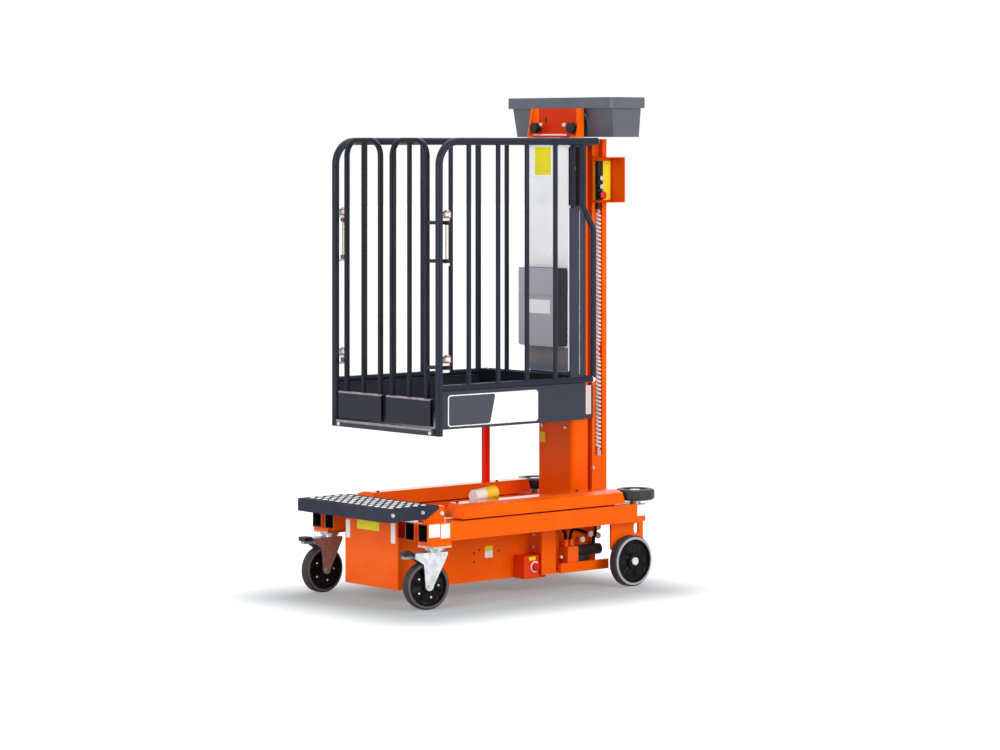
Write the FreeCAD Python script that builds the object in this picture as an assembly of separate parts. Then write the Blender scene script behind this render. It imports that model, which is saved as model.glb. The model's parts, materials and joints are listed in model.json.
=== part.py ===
import FreeCAD, Part
import os
from math import cos, radians, sin, tan

# A push-around vertical mast lift: a low wheeled base, a mast of two nested steel sections, and a
# barred cage that rides up the mast on a carriage. Millimetres. +X points from the cage's gates to the
# mast, +Y to the side away from the lower controls, +Z up. The origin is on the floor, in the middle of
# the machine's length and width.

V = FreeCAD.Vector
X_AXIS = V(1, 0, 0)
Y_AXIS = V(0, 1, 0)
Z_AXIS = V(0, 0, 1)
SIDES = {"near": -1, "far": 1}

# Overall places
cage_front_x = -449.0
running_gap = 0.3
moving_gap = 6.0

# Heights that the cage, the carriage and the mast share
floor_top_z = 675.0
guard_height = 1100.0
sill_height = 28.0
carriage_lift = 5.0
carriage_drop = 9.0
mast_rise = 4.0
cage_top_z = floor_top_z + guard_height
cage_bottom_z = floor_top_z - sill_height
carriage_bottom_z = cage_bottom_z + carriage_lift
carriage_top_z = cage_top_z - carriage_drop
mast_top_z = carriage_top_z + mast_rise

# Side beams: two rectangular tubes on each side, open at both ends
tube_width = 57.0
tube_height = 70.0
tube_wall = 6.0
tube_outer_y = 353.0
tube_spacing = 20.0
beam_bottom_z = 254.0
beam_front_x = -535.0
beam_rear_x = 586.0
beam_top_z = beam_bottom_z + tube_height
outer_tube_y = tube_outer_y - tube_width / 2
inner_tube_y = outer_tube_y - tube_width - tube_spacing
inner_face_y = inner_tube_y - tube_width / 2

# Cross members and deck between the beams
cross_thickness = 50.0
front_cross_x = -445.0
middle_cross_x = 190.0
rear_cross_x = 410.0
rear_cross_length = 176.0
deck_thickness = 4.0
deck_rise = 46.0
deck_z = beam_bottom_z + deck_rise

# Step: a folded tread plate at the front
step_front_x = -667.0
step_length = 250.0
step_width = 560.0
step_top_z = 381.0
step_skirt = 48.0
step_sheet = 3.0
step_corner_radius = 8.0
step_hole_radius = 8.0
step_hole_turn = 45
step_hole_pitch = 40.0
step_hole_margin = 26.0
step_bracket_thickness = 6.0
step_bracket_length = 104.0
step_bracket_overhang = 28.0
step_bracket_flange = 30.0
step_heel_length = 64.0
step_heel_rise = 36.0

# Raised covers on the beams
cover_front_x = -349.0
cover_length = 838.0
cover_front_slope = 22.0
cover_rear_slope = 7.0
cover_lift = 5.0
cover_height = 53.0
cover_top_z = beam_top_z + cover_lift + cover_height
cover_inner_margin = 4.0
cover_outer_margin = 12.0
cover_outer_slope = 11.0
cover_crease_inset = 44.0
cover_crease_drop = 10.0
cover_inner_slope = 10.0
cover_sheet = 3.0
cover_spacer_length = 40.0
cover_spacer_inset = 120.0

# Battery housing: the closed box low in the front
battery_front_x = -524.0
battery_length = 680.0
battery_width = 326.0
battery_bottom_z = 56.0
battery_front_sheet = 6.0
battery_edge_radius = 4.0
battery_rear_x = battery_front_x + battery_length

# Hydraulic power pack and the switch beside it
pump_rail_height = 38.0
pump_rail_thickness = 20.0
pump_rail_bottom_z = 66.0
pump_rail_length = 253.0
pump_plate_thickness = 6.0
pump_plate_length = 74.0
pump_plate_lap = 20.0
pump_shelf_set_back = 42.0
pump_rail_set_back = 89.0
pump_hanger_length = 208.0
pump_rail_gap = 2.0
pump_y = -205.0
motor_radius = 22.0
motor_length = 134.0
motor_set_back = 200.0
motor_z = 141.0
motor_foot_length = 70.0
manifold_size = 56.0
fitting_radius = 10.0
fitting_length = 26.0
isolator_length = 112.0
isolator_height = 90.0
isolator_depth = 62.0
isolator_inset = 98.0
isolator_edge_radius = 6.0
isolator_bottom_z = 54.0
isolator_key_radius = 16.0
isolator_key_length = 14.0
pump_plate_front_x = battery_rear_x - pump_plate_lap
pump_shelf_front_x = pump_plate_front_x + pump_shelf_set_back
pump_rail_front_x = pump_plate_front_x + pump_rail_set_back
pump_rail_rear_x = pump_rail_front_x + pump_rail_length
motor_front_x = pump_plate_front_x + motor_set_back

# Rear wheels on stub axles
rear_wheel_x = 521.0
rear_wheel_radius = 100.0
rear_wheel_width = 44.0
rear_boss_radius = 30.0
tyre_shoulder = 7.0
hub_rim_depth = 8.0
hub_rim_draft = 2.0
hub_web_half = 9.0
rear_tyre_depth = 14.0
rear_wheel_outer_y = 360.0
rear_axle_radius = 10.0
axle_running_fit = 0.05
axle_head_radius = 15.0
axle_head_length = 6.0
wheel_side_gap = 5.0
wheel_bracket_sheet = 10.0
wheel_bracket_length = 172.0
wheel_bracket_front_x = 441.0
wheel_bracket_slot_radius = 13.0
wheel_bracket_slot_length = 18.0
wheel_bracket_slot_x = 576.0
wheel_bracket_slot_z = 222.0
wheel_bracket_foot_radius = 32.0
wheel_bracket_shoulder = 20.0
rear_bracket_y = rear_wheel_outer_y - rear_wheel_width - wheel_side_gap

# Swivel castors at the front
castor_x = -474.0
castor_y = 322.0
castor_trail = 38.0
castor_turn = {"near": -12.0, "far": 0.0}
castor_seat_sheet = 16.0
castor_seat_z = beam_bottom_z - castor_seat_sheet
castor_wheel_radius = 90.0
castor_wheel_width = 44.0
castor_tyre_depth = 13.0
castor_plate_size = 90.0
castor_plate_sheet = 6.0
castor_race_radius = 38.0
castor_neck_radius = 30.0
castor_race_height = 9.0
castor_fork_sheet = 5.0
fork_gap = 5.0
castor_fork_crown_z = 211.0
castor_fork_ear = 60.0
castor_fork_heel = 76.0
castor_ear_drop = 15.0
castor_heel_drop = 8.0
castor_leg_half = 24.0
castor_leg_drop = 38.0
castor_axle_radius = 7.0
castor_axle_end = 5.0
castor_eye_radius = 17.0
castor_boss_radius = 22.0
castor_pedal_width = 44.0
castor_pedal_reach = 140.0
castor_pedal_length = 38.0
castor_lever_height = 16.0
castor_lever_width = 24.0
castor_lever_lap = 15.0
castor_tread_height = 16.0
castor_tread_sink = 5.0
castor_tread_edge = 5.0
castor_wheel_x = castor_x - castor_trail

# Horizontal guide rollers on the rear corners
roller_x = 580.0
roller_y = 300.0
roller_radius = 77.5
roller_height = 42.0
roller_lift = 12.0
roller_dish_radius = 52.0
roller_dish_depth = 8.0
roller_pin_radius = 12.0
roller_washer_radius = 22.0
roller_washer_height = 5.0
roller_edge = 7.0

# Mast
mast_width = 212.0
inner_front_x = 417.0
inner_depth = 84.0
inner_corner_radius = 20.0
mast_wall = 6.0
mast_gap = 24.0
outer_depth = 79.0
lip_reach = 55.0
lip_wall = 8.0
groove_depth = 20.0
groove_front = 16.0
groove_length = 40.0
groove_cover_height = 167.0
rail_side_gap = 13.0
rail_flange_wall = 8.0
rail_flange_gap = 8.0
foot_thickness = 8.0
foot_margin = 12.0
foot_collar_height = 18.0
pad_height = 90.0
pad_length = 40.0
mast_bottom_z = deck_z + deck_thickness + foot_thickness + foot_collar_height
groove_cover_top_z = mast_bottom_z + groove_cover_height
mast_half = mast_width / 2
lip_y = mast_half - lip_reach
rail_half_width = lip_y - rail_side_gap
rail_flange_half_width = mast_half - groove_depth - mast_wall - rail_flange_gap
inner_rear_x = inner_front_x + inner_depth
outer_front_x = inner_rear_x + mast_gap
outer_rear_x = outer_front_x + outer_depth
flange_front_x = outer_front_x + lip_wall + moving_gap
flange_rear_x = flange_front_x + rail_flange_wall

# Lift cylinder inside the fixed section
barrel_radius = 20.0
barrel_wall = 4.0
barrel_top_gap = 100.0
barrel_length = mast_top_z - mast_bottom_z - barrel_top_gap
gland_length = 20.0
rod_radius = 11.0
piston_length = 60.0
piston_gap = 0.6
rod_lug_height = 40.0
rod_lug_margin = 6.0
rod_rise = 70.0
cylinder_x = flange_rear_x + moving_gap + barrel_radius

# Carriage that grips the inner section
carriage_sheet = 8.0
carriage_front_gap = 14.0
hook_sheet = 10.0
hook_reach = 24.0
cheek_length = 83.0
foot_hook_height = 131.0
head_hook_height = 24.0
hook_strap_height = 16.0
arm_length = 514.0
arm_width = 30.0
carriage_front_x = inner_front_x - carriage_front_gap - carriage_sheet
carriage_inner = mast_half + moving_gap
carriage_half = carriage_inner + carriage_sheet
cheek_rear_x = carriage_front_x + cheek_length
hook_x = inner_rear_x + moving_gap

# Cage
cage_half_width = 317.0
post_radius = 14.5
bar_radius = 9.5
cage_bend = 90.0
bar_pitch = 147.0
bar_count = 4
rear_post_x = 285.0
rail_end_x = 359.0
rear_plate_width = 70.0
rear_plate_sheet = 8.0
rear_plate_drop = 275.0
joggle_radius = 12.0
joggle_shift = 53.0
joggle_drop = 80.0
joggle_bend = 45.0
toe_rail_rise = 152.0
toe_rail_radius = 12.5
toe_sheet = 4.0
toe_board_overhang = 6.0
floor_overhang = 15.0
rear_rail_radius = 12.0
rear_rail_inset = 22.0
rear_rail_lug = 17.0
rear_bar_y = 200.0
floor_sheet = 6.0
floor_rib = 22.0
floor_rib_sheet = 5.0
sill_depth = 26.0
rail_z = cage_top_z - post_radius
toe_rail_z = floor_top_z + toe_rail_rise
rear_plate_top_z = cage_top_z - rear_plate_drop
floor_half_width = cage_half_width - post_radius - running_gap

# Gates: two inward-opening leaves
gate_side_gap = 72.0
gate_middle_gap = 36.0
gate_tube_radius = 11.0
gate_bend = 60.0
gate_toe_height = 108.0
gate_toe_outer = 36.0
gate_toe_inner = 22.0
gate_toe_sheet = 4.0
hinge_offset = 38.0
hinge_pin_radius = 6.0
hinge_arm_height = 14.0
hinge_arm_width = 18.0
hinge_knuckle_radius = 11.0
hinge_drops = (322.0, 467.0, 870.0)
lug_height = 10.0
lug_gap = 1.0
hinge_x = cage_front_x + hinge_offset

# Back panel, case and upper controls on the carriage
panel_sheet = 10.0
panel_corner_radius = 16.0
kick_height = 165.0
panel_drop = 18.0
case_depth = 60.0
case_width = 228.0
case_rise = 103.0
case_height = 309.0
case_lid_height = 102.0
case_lid_lip = 3.0
case_edge_radius = 12.0
kick_panel_margin = 20.0
upper_control_width = 54.0
upper_control_depth = 47.0
upper_control_face = 12.0
upper_control_drop = 28.0
upper_control_height = 233.0
upper_control_edge = 6.0
indicator_radius = 6.0
indicator_length = 4.0
indicator_drop = 85.0
indicator_inset = 10.0
panel_bottom_z = floor_top_z + kick_height
panel_top_z = carriage_top_z - panel_drop

# Tool tray over the mast
tray_rim_half_width = 314.0
tray_rim_front_x = 437.0
tray_rim_length = 190.0
tray_rim_height = 43.0
tray_rim_overhang = 13.0
tray_clearance = 8.0
tray_depth = 158.0
tray_front_inset = 23.0
tray_rear_inset = 4.0
tray_side_inset = 11.0
tray_wall = 4.0
tray_corner_radius = 14.0
bracket_half_width = 150.0
bracket_sheet = 8.0
bracket_tab_width = 40.0
bracket_tab_inset = 20.0
bracket_tab_drop = 60.0
clamp_knob_radius = 22.0
clamp_stem_radius = 10.0
clamp_knob_length = 34.0
clamp_knob_y = 110.0
clamp_knob_rise = 38.0
tray_bottom_z = mast_top_z + tray_clearance
tray_top_z = tray_bottom_z + tray_depth
bracket_shelf_z = mast_top_z + moving_gap
bracket_face_x = tray_rim_front_x - tray_wall
bracket_top_z = tray_top_z - tray_rim_height - running_gap

# Lower control hood on the fixed section's near side
hood_length = 100.0
hood_depth = 87.0
hood_wall = 4.0
hood_drop = 72.0
hood_height = 183.0
control_panel_sheet = 8.0
control_strip_width = 28.0
control_panel_margin = 6.0
control_strip_depth = 16.0
button_radius = 9.0
button_length = 8.0
stop_radius = 15.0
stop_length = 20.0
button_pitch = 34.0
stop_margin = 5.0
hood_top_z = mast_top_z - hood_drop
hood_bottom_z = hood_top_z - hood_height

# Curly cord in the near groove
cord_radius = 14.0
cord_top_gap = 28.0
gland_radius = 9.0
groove_gap = 1.0
cord_foot_height = 22.0
cord_x = outer_front_x + groove_front + groove_length / 2
groove_y = -(mast_half - groove_depth)
cord_y = groove_y - cord_radius - groove_gap

# Platform rest and charging inlet
rest_post_x = 293.0
rest_post_y = 279.0
rest_post_size = 24.0
rest_post_wall = 3.0
inlet_x = -172.0
inlet_y = -190.0
inlet_radius = 26.0
inlet_wall = 3.0
inlet_length = 110.0
inlet_back_length = 44.0
inlet_foot_width = 24.0
inlet_foot_length = 88.0
inlet_tilt = 6.0
inlet_rise = 85.0


def box(x0, x1, y0, y1, z0, z1):
    """A block between two corners given in any order."""
    low = V(min(x0, x1), min(y0, y1), min(z0, z1))
    return Part.makeBox(abs(x1 - x0), abs(y1 - y0), abs(z1 - z0), low)


def rod(start, end, radius):
    """A round bar from one point to another."""
    run = end - start
    return Part.makeCylinder(radius, run.Length, start, run)


def ring(start, end, radius, bore):
    """A round bar with a hole right through it."""
    return rod(start, end, radius).cut(rod(start, end, bore))


def fuse(solids):
    """One solid out of pieces that touch."""
    return solids[0].multiFuse(solids[1:]).removeSplitter()


def prism(points, direction):
    """A straight block over a closed outline of points."""
    outline = Part.makePolygon(points + [points[0]])
    return Part.Face(outline).extrude(direction)


def plan(points, z0, z1):
    """A block over an outline given in plan as (x, y) pairs."""
    return prism([V(x, y, z0) for x, y in points], V(0, 0, z1 - z0))


def bent_tube(points, radius, bend):
    """A round tube along straight runs that are joined by arcs of one bend radius."""
    edges = []
    start = points[0]
    for before, corner, after in zip(points, points[1:], points[2:]):
        to_start = (before - corner).normalize()
        to_end = (after - corner).normalize()
        half_angle = to_start.getAngle(to_end) / 2
        tangent = bend / tan(half_angle)
        middle = (to_start + to_end).normalize()
        first = corner + to_start * tangent
        last = corner + to_end * tangent
        apex = corner + middle * (bend / sin(half_angle) - bend)
        edges.append(Part.LineSegment(start, first).toShape())
        edges.append(Part.Arc(first, apex, last).toShape())
        start = last
    edges.append(Part.LineSegment(start, points[-1]).toShape())
    profile = Part.Wire(Part.Circle(points[0], points[1] - points[0], radius).toShape())
    return Part.Wire(edges).makePipeShell([profile], True, False)


def rounded_block(x0, x1, y0, y1, z0, z1, radius, axis):
    """A block whose four edges along one axis are rounded."""
    block = box(x0, x1, y0, y1, z0, z1)
    edges = [e for e in block.Edges if abs(e.tangentAt(e.FirstParameter).dot(axis)) > 0.99]
    return block.makeFillet(radius, edges)


def frustum(bottom, top, z0, z1):
    """A block between two rectangles, each given as x0, x1, y0, y1."""
    wires = []
    for (x0, x1, y0, y1), z in ((bottom, z0), (top, z1)):
        corners = [V(x0, y0, z), V(x1, y0, z), V(x1, y1, z), V(x0, y1, z)]
        wires.append(Part.makePolygon(corners + [corners[0]]))
    return Part.makeLoft(wires, True, True)


def turned(section, centre, axis):
    """A solid of revolution from (radius, place along the axis) pairs."""
    points = [V(r, 0, a) for r, a in section]
    face = Part.Face(Part.makePolygon(points + [points[0]]))
    solid = face.revolve(V(0, 0, 0), Z_AXIS, 360)
    solid.Placement = FreeCAD.Placement(centre, FreeCAD.Rotation(Z_AXIS, axis))
    return solid


def side_beams():
    """Four open tubes, the cross members and deck that join them, and the brackets under them."""
    pieces = []
    for side in SIDES.values():
        for y in (inner_tube_y, outer_tube_y):
            low, high = side * y - tube_width / 2, side * y + tube_width / 2
            outer = box(beam_front_x, beam_rear_x, low, high, beam_bottom_z, beam_top_z)
            bore = box(beam_front_x - 1, beam_rear_x + 1, low + tube_wall, high - tube_wall,
                       beam_bottom_z + tube_wall, beam_top_z - tube_wall)
            pieces.append(outer.cut(bore))
        spacer_low, spacer_high = side * (inner_tube_y + tube_width / 2), side * (outer_tube_y - tube_width / 2)
        for x in (front_cross_x, middle_cross_x, rear_cross_x + rear_cross_length / 2):
            pieces.append(box(x, x + cross_thickness, spacer_low, spacer_high, beam_bottom_z, beam_top_z))
        pieces.append(castor_seat(side))
        pieces.append(step_bracket(side))
    for x, length in ((front_cross_x, cross_thickness), (middle_cross_x, cross_thickness),
                      (rear_cross_x, rear_cross_length)):
        pieces.append(box(x, x + length, -inner_face_y, inner_face_y, beam_bottom_z, deck_z))
    pieces.append(box(front_cross_x, rear_cross_x + rear_cross_length, -inner_face_y, inner_face_y,
                      deck_z, deck_z + deck_thickness))
    return fuse(pieces)


def wheel_brackets():
    """The two plates that carry the rear wheels."""
    return Part.makeCompound([wheel_bracket(side) for side in SIDES.values()])


def castor_seat(side):
    """The thick spacer under the beams that a castor's plate is bolted to."""
    half = castor_plate_size / 2
    return box(castor_x - half, castor_x + half, side * castor_y - half, side * castor_y + half,
               castor_seat_z, beam_bottom_z)


def castor_plates():
    """The top plates that the castors swivel under."""
    half = castor_plate_size / 2
    return Part.makeCompound([
        box(castor_x - half, castor_x + half, side * castor_y - half, side * castor_y + half,
            castor_seat_z - castor_plate_sheet, castor_seat_z) for side in SIDES.values()])


def wheel_bracket(side):
    """A plate down from the beam to the rear wheel's stub axle, with an oval window."""
    y0, y1 = side * (rear_bracket_y - wheel_bracket_sheet), side * rear_bracket_y
    rear_x = wheel_bracket_front_x + wheel_bracket_length
    shoulder_z = rear_wheel_radius + wheel_bracket_foot_radius + wheel_bracket_shoulder
    low_x, high_x = rear_wheel_x - wheel_bracket_foot_radius, rear_wheel_x + wheel_bracket_foot_radius
    outline = [(wheel_bracket_front_x, beam_bottom_z), (rear_x, beam_bottom_z), (rear_x, shoulder_z),
               (high_x, rear_wheel_radius), (low_x, rear_wheel_radius), (wheel_bracket_front_x, shoulder_z)]
    plate = prism([V(x, y0, z) for x, z in outline], V(0, y1 - y0, 0))
    foot = rod(V(rear_wheel_x, y0, rear_wheel_radius), V(rear_wheel_x, y1, rear_wheel_radius),
               wheel_bracket_foot_radius)
    half = wheel_bracket_slot_length / 2
    window = [box(wheel_bracket_slot_x - wheel_bracket_slot_radius, wheel_bracket_slot_x + wheel_bracket_slot_radius,
                  y0 - side, y1 + side, wheel_bracket_slot_z - half, wheel_bracket_slot_z + half)]
    for z in (wheel_bracket_slot_z - half, wheel_bracket_slot_z + half):
        window.append(rod(V(wheel_bracket_slot_x, y0 - side, z), V(wheel_bracket_slot_x, y1 + side, z),
                          wheel_bracket_slot_radius))
    bore = rod(V(rear_wheel_x, y0 - side, rear_wheel_radius), V(rear_wheel_x, y1 + side, rear_wheel_radius),
               rear_axle_radius)
    return fuse([plate, foot]).cut(fuse(window)).cut(bore)


def step_bracket(side):
    """A folded channel from the inner tube up to the step's underside, with a leg behind the skirt."""
    outer = inner_tube_y + tube_width / 2
    web = outer - step_bracket_thickness
    x1 = step_front_x + step_length + step_bracket_overhang
    x0 = x1 - step_bracket_length
    top_z = step_top_z - step_sheet
    leg = step_width / 2 - step_sheet - running_gap
    return fuse([
        box(x0, x1, side * (leg - step_bracket_thickness), side * leg, beam_top_z, top_z),
        box(x0, x1, side * web, side * leg, top_z - step_bracket_thickness, top_z),
        box(x0, x1, side * web, side * outer, beam_top_z, top_z),
        box(x0, x1, side * (outer - step_bracket_flange), side * outer, beam_top_z,
            beam_top_z + step_bracket_thickness),
        box(x0, x1, side * (outer - step_bracket_flange), side * outer, top_z - step_bracket_thickness, top_z),
    ])


def step():
    """The folded tread plate: a flat top with rows of traction holes, and a skirt whose sides slant up at the heel."""
    half = step_width / 2
    rear_x = step_front_x + step_length
    outer = rounded_block(step_front_x, rear_x + step_corner_radius, -half, half, step_top_z - step_skirt,
                          step_top_z, step_corner_radius, Z_AXIS)
    inner = rounded_block(step_front_x + step_sheet, rear_x + 2 * step_corner_radius, -half + step_sheet,
                          half - step_sheet, step_top_z - step_skirt - 1, step_top_z - step_sheet,
                          step_corner_radius - step_sheet, Z_AXIS)
    shell = outer.cut(inner)
    shell = shell.common(box(step_front_x - 1, rear_x, -half - 1, half + 1, 0, step_top_z + 1))
    holes = []
    across = int((step_width - 2 * step_hole_margin) / step_hole_pitch)
    along = int((step_length - 2 * step_hole_margin) / step_hole_pitch)
    first_y = -across * step_hole_pitch / 2
    first_x = step_front_x + step_length / 2 - along * step_hole_pitch / 2
    for row in range(along + 1):
        for column in range(across + 1):
            x, y = first_x + row * step_hole_pitch, first_y + column * step_hole_pitch
            corners = [(x + step_hole_radius * cos(radians(turn)), y + step_hole_radius * sin(radians(turn)))
                       for turn in range(0, 360, step_hole_turn)]
            holes.append(plan(corners, step_top_z - step_sheet - 1, step_top_z + 1))
    low_z = step_top_z - step_skirt
    heel = prism([V(x, -half - 1, z) for x, z in
                  ((rear_x - step_heel_length, low_z - 1), (rear_x + 1, low_z - 1),
                   (rear_x + 1, low_z + step_heel_rise), (rear_x, low_z + step_heel_rise),
                   (rear_x - step_heel_length, low_z))], V(0, step_width + 2, 0))
    return shell.cut(Part.makeCompound(holes)).cut(heel)


def beam_cover(side):
    """A folded cover over one pair of tubes: sloped ends, a creased top and an open underside."""
    rear_x = cover_front_x + cover_length
    inner_y, outer_y = inner_face_y + cover_inner_margin, tube_outer_y - cover_outer_margin
    z0, z1 = beam_top_z + cover_lift, cover_top_z

    def body(sheet):
        top, low_y, high_y = z1 - sheet, inner_y + sheet, outer_y - sheet
        section = prism([V(cover_front_x, side * y, z) for y, z in
                         ((low_y, z0), (low_y + cover_inner_slope, top), (high_y - cover_crease_inset, top),
                          (high_y - cover_outer_slope, top - cover_crease_drop), (high_y, z0))],
                        V(cover_length, 0, 0))
        x0, x1 = cover_front_x + sheet, rear_x - sheet
        ends = prism([V(x, -tube_outer_y, z) for x, z in
                      ((x0, z0), (x0 + cover_front_slope, top), (x1 - cover_rear_slope, top), (x1, z0))],
                     V(0, 2 * tube_outer_y, 0))
        return section.common(ends)

    spacers = []
    for x in (cover_front_x + cover_spacer_inset, rear_x - cover_spacer_inset):
        spacers.append(box(x - cover_spacer_length / 2, x + cover_spacer_length / 2,
                           side * (inner_y + cover_inner_slope), side * (inner_face_y + tube_width),
                           beam_top_z, z1 - cover_sheet))
    return fuse([body(0).cut(body(cover_sheet))] + spacers)


def battery_housing():
    """The closed battery box, whose front sheet runs up under the step."""
    half = battery_width / 2
    body = rounded_block(battery_front_x, battery_rear_x, -half, half, battery_bottom_z,
                         beam_bottom_z, battery_edge_radius, Z_AXIS)
    front = box(battery_front_x, battery_front_x + battery_front_sheet, -half + battery_edge_radius,
                half - battery_edge_radius, beam_bottom_z - 10, beam_top_z)
    return fuse([body, front])


def pump_cradle():
    """The low rail and shelf that hold the power pack, hung from a front plate and a rear hanger."""
    y1 = pump_y - manifold_size / 2 - pump_rail_gap
    y0 = y1 - pump_rail_thickness
    shelf_y = pump_y + manifold_size / 2
    hanger_y = shelf_y + pump_plate_thickness
    z0, z1 = pump_rail_bottom_z, pump_rail_bottom_z + pump_plate_thickness
    rail = box(pump_rail_front_x, pump_rail_rear_x, y0, y1, z0, z0 + pump_rail_height)
    front = box(pump_plate_front_x, pump_plate_front_x + pump_plate_length, y1 - pump_plate_thickness, y1,
                z0, beam_bottom_z)
    shelf = box(pump_shelf_front_x, pump_rail_rear_x, y1 - pump_plate_thickness, hanger_y, z0, z1)
    hanger = box(pump_rail_rear_x - pump_hanger_length, pump_rail_rear_x, shelf_y, hanger_y, z0, beam_bottom_z)
    return fuse([rail, front, shelf, hanger])


def power_pack():
    """The electric pump: a motor lying along the machine, its manifold block and two hose fittings."""
    shelf_z = pump_rail_bottom_z + pump_plate_thickness
    motor = rod(V(motor_front_x, pump_y, motor_z), V(motor_front_x + motor_length, pump_y, motor_z), motor_radius)
    half = manifold_size / 2
    top_z = motor_z + motor_radius
    manifold = box(motor_front_x - manifold_size, motor_front_x, pump_y - half, pump_y + half, shelf_z, top_z)
    foot = box(motor_front_x, motor_front_x + motor_foot_length, pump_y - half / 2, pump_y + half / 2,
               shelf_z, motor_z)
    pieces = [motor, manifold, foot]
    for place in (-half / 2, half / 2):
        x = motor_front_x - half + place
        pieces.append(rod(V(x, pump_y, shelf_z), V(x, pump_y, top_z + fitting_length), fitting_radius))
    return fuse(pieces)


def isolator():
    """The battery isolator: a small box on the housing's near side with a round key."""
    y1 = -battery_width / 2
    y0 = y1 - isolator_depth
    front_x = battery_rear_x - isolator_inset
    rear_x = front_x + isolator_length
    body = rounded_block(front_x, rear_x, y0, y1, isolator_bottom_z, isolator_bottom_z + isolator_height,
                         isolator_edge_radius, Y_AXIS)
    centre_x, centre_z = (front_x + rear_x) / 2, isolator_bottom_z + isolator_height / 2
    key = rod(V(centre_x, y1, centre_z), V(centre_x, y0 - isolator_key_length, centre_z), isolator_key_radius)
    return fuse([body, key])


def rear_axles():
    """Two stub axles, each from its bracket out through the wheel, with a head outside."""
    axles = []
    for side in SIDES.values():
        start = V(rear_wheel_x, side * (rear_bracket_y - wheel_bracket_sheet), rear_wheel_radius)
        end = V(rear_wheel_x, side * (rear_wheel_outer_y + running_gap), rear_wheel_radius)
        head = V(rear_wheel_x, side * (rear_wheel_outer_y + running_gap + axle_head_length), rear_wheel_radius)
        collar_start = V(rear_wheel_x, side * rear_bracket_y, rear_wheel_radius)
        collar_end = V(rear_wheel_x, side * (rear_bracket_y + wheel_side_gap - running_gap), rear_wheel_radius)
        axles.append(fuse([rod(start, end, rear_axle_radius), rod(end, head, axle_head_radius),
                           rod(collar_start, collar_end, axle_head_radius)]))
    return Part.makeCompound(axles)


def rear_tyre(side):
    """A grey solid tyre with rounded shoulders."""
    centre = V(rear_wheel_x, side * (rear_wheel_outer_y - rear_wheel_width / 2), rear_wheel_radius)
    return tyre(rear_wheel_radius, rear_wheel_width, rear_tyre_depth, centre, V(0, side, 0))


def tyre(radius, width, depth, centre, axis):
    """A solid tyre: crowned outside, straight bore."""
    half = width / 2
    bore = radius - depth
    edge = radius - tyre_shoulder
    section = [(bore, -half), (edge, -half), (radius, -half + tyre_shoulder), (radius, half - tyre_shoulder),
               (edge, half), (bore, half)]
    return turned(section, centre, axis)


def rear_hub(side):
    """The moulded hub: a rim, a recessed web and a boss that turns on the stub axle."""
    centre = V(rear_wheel_x, side * (rear_wheel_outer_y - rear_wheel_width / 2), rear_wheel_radius)
    return hub(rear_wheel_radius - rear_tyre_depth, rear_wheel_width, rear_axle_radius + axle_running_fit,
               rear_boss_radius, centre, V(0, side, 0))


def hub(radius, width, bore, boss, centre, axis):
    """A wheel centre turned from one profile, deeply recessed on both faces."""
    half = width / 2
    web = hub_web_half
    rim = radius - hub_rim_depth
    mouth = rim + hub_rim_draft
    section = [(bore, -half), (boss, -half), (boss, -web), (rim, -web), (mouth, -half), (radius, -half),
               (radius, half), (mouth, half), (rim, web), (boss, web), (boss, half), (bore, half)]
    return turned(section, centre, axis)


def parked(shape, name):
    """A castor's piece turned about its swivel pin to the way that the castor is parked."""
    turned_shape = shape.copy()
    turned_shape.rotate(V(castor_x, SIDES[name] * castor_y, 0), Z_AXIS, castor_turn[name])
    return turned_shape


def castor_fork(side):
    """A swivel castor's top race, pressed fork and axle."""
    y = side * castor_y
    top_z = castor_seat_z - castor_plate_sheet - running_gap
    race_z = top_z - castor_race_height
    crown_z = castor_fork_crown_z
    crown_top_z = crown_z + castor_fork_sheet
    inner = castor_wheel_width / 2 + fork_gap
    ear_x, heel_x = castor_wheel_x - castor_fork_ear, castor_wheel_x + castor_fork_heel
    pieces = [
        rod(V(castor_x, y, race_z), V(castor_x, y, top_z), castor_race_radius),
        rod(V(castor_x, y, crown_z), V(castor_x, y, top_z), castor_neck_radius),
        box(ear_x, heel_x, y - inner - castor_fork_sheet, y + inner + castor_fork_sheet, crown_z, crown_top_z),
    ]
    for hand in (-1, 1):
        y0 = y + hand * inner
        y1 = y0 + hand * castor_fork_sheet
        outline = [(ear_x, crown_top_z), (heel_x, crown_top_z), (heel_x, crown_z - castor_heel_drop),
                   (castor_wheel_x + castor_eye_radius, castor_wheel_radius),
                   (castor_wheel_x - castor_eye_radius, castor_wheel_radius),
                   (castor_wheel_x - castor_leg_half, crown_z - castor_leg_drop),
                   (ear_x, crown_z - castor_ear_drop)]
        pieces.append(prism([V(x, y0, z) for x, z in outline], V(0, y1 - y0, 0)))
        pieces.append(rod(V(castor_wheel_x, y0, castor_wheel_radius), V(castor_wheel_x, y1, castor_wheel_radius),
                          castor_eye_radius))
    reach = inner + castor_fork_sheet + castor_axle_end
    pieces.append(rod(V(castor_wheel_x, y - reach, castor_wheel_radius),
                      V(castor_wheel_x, y + reach, castor_wheel_radius), castor_axle_radius))
    return fuse(pieces)


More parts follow.
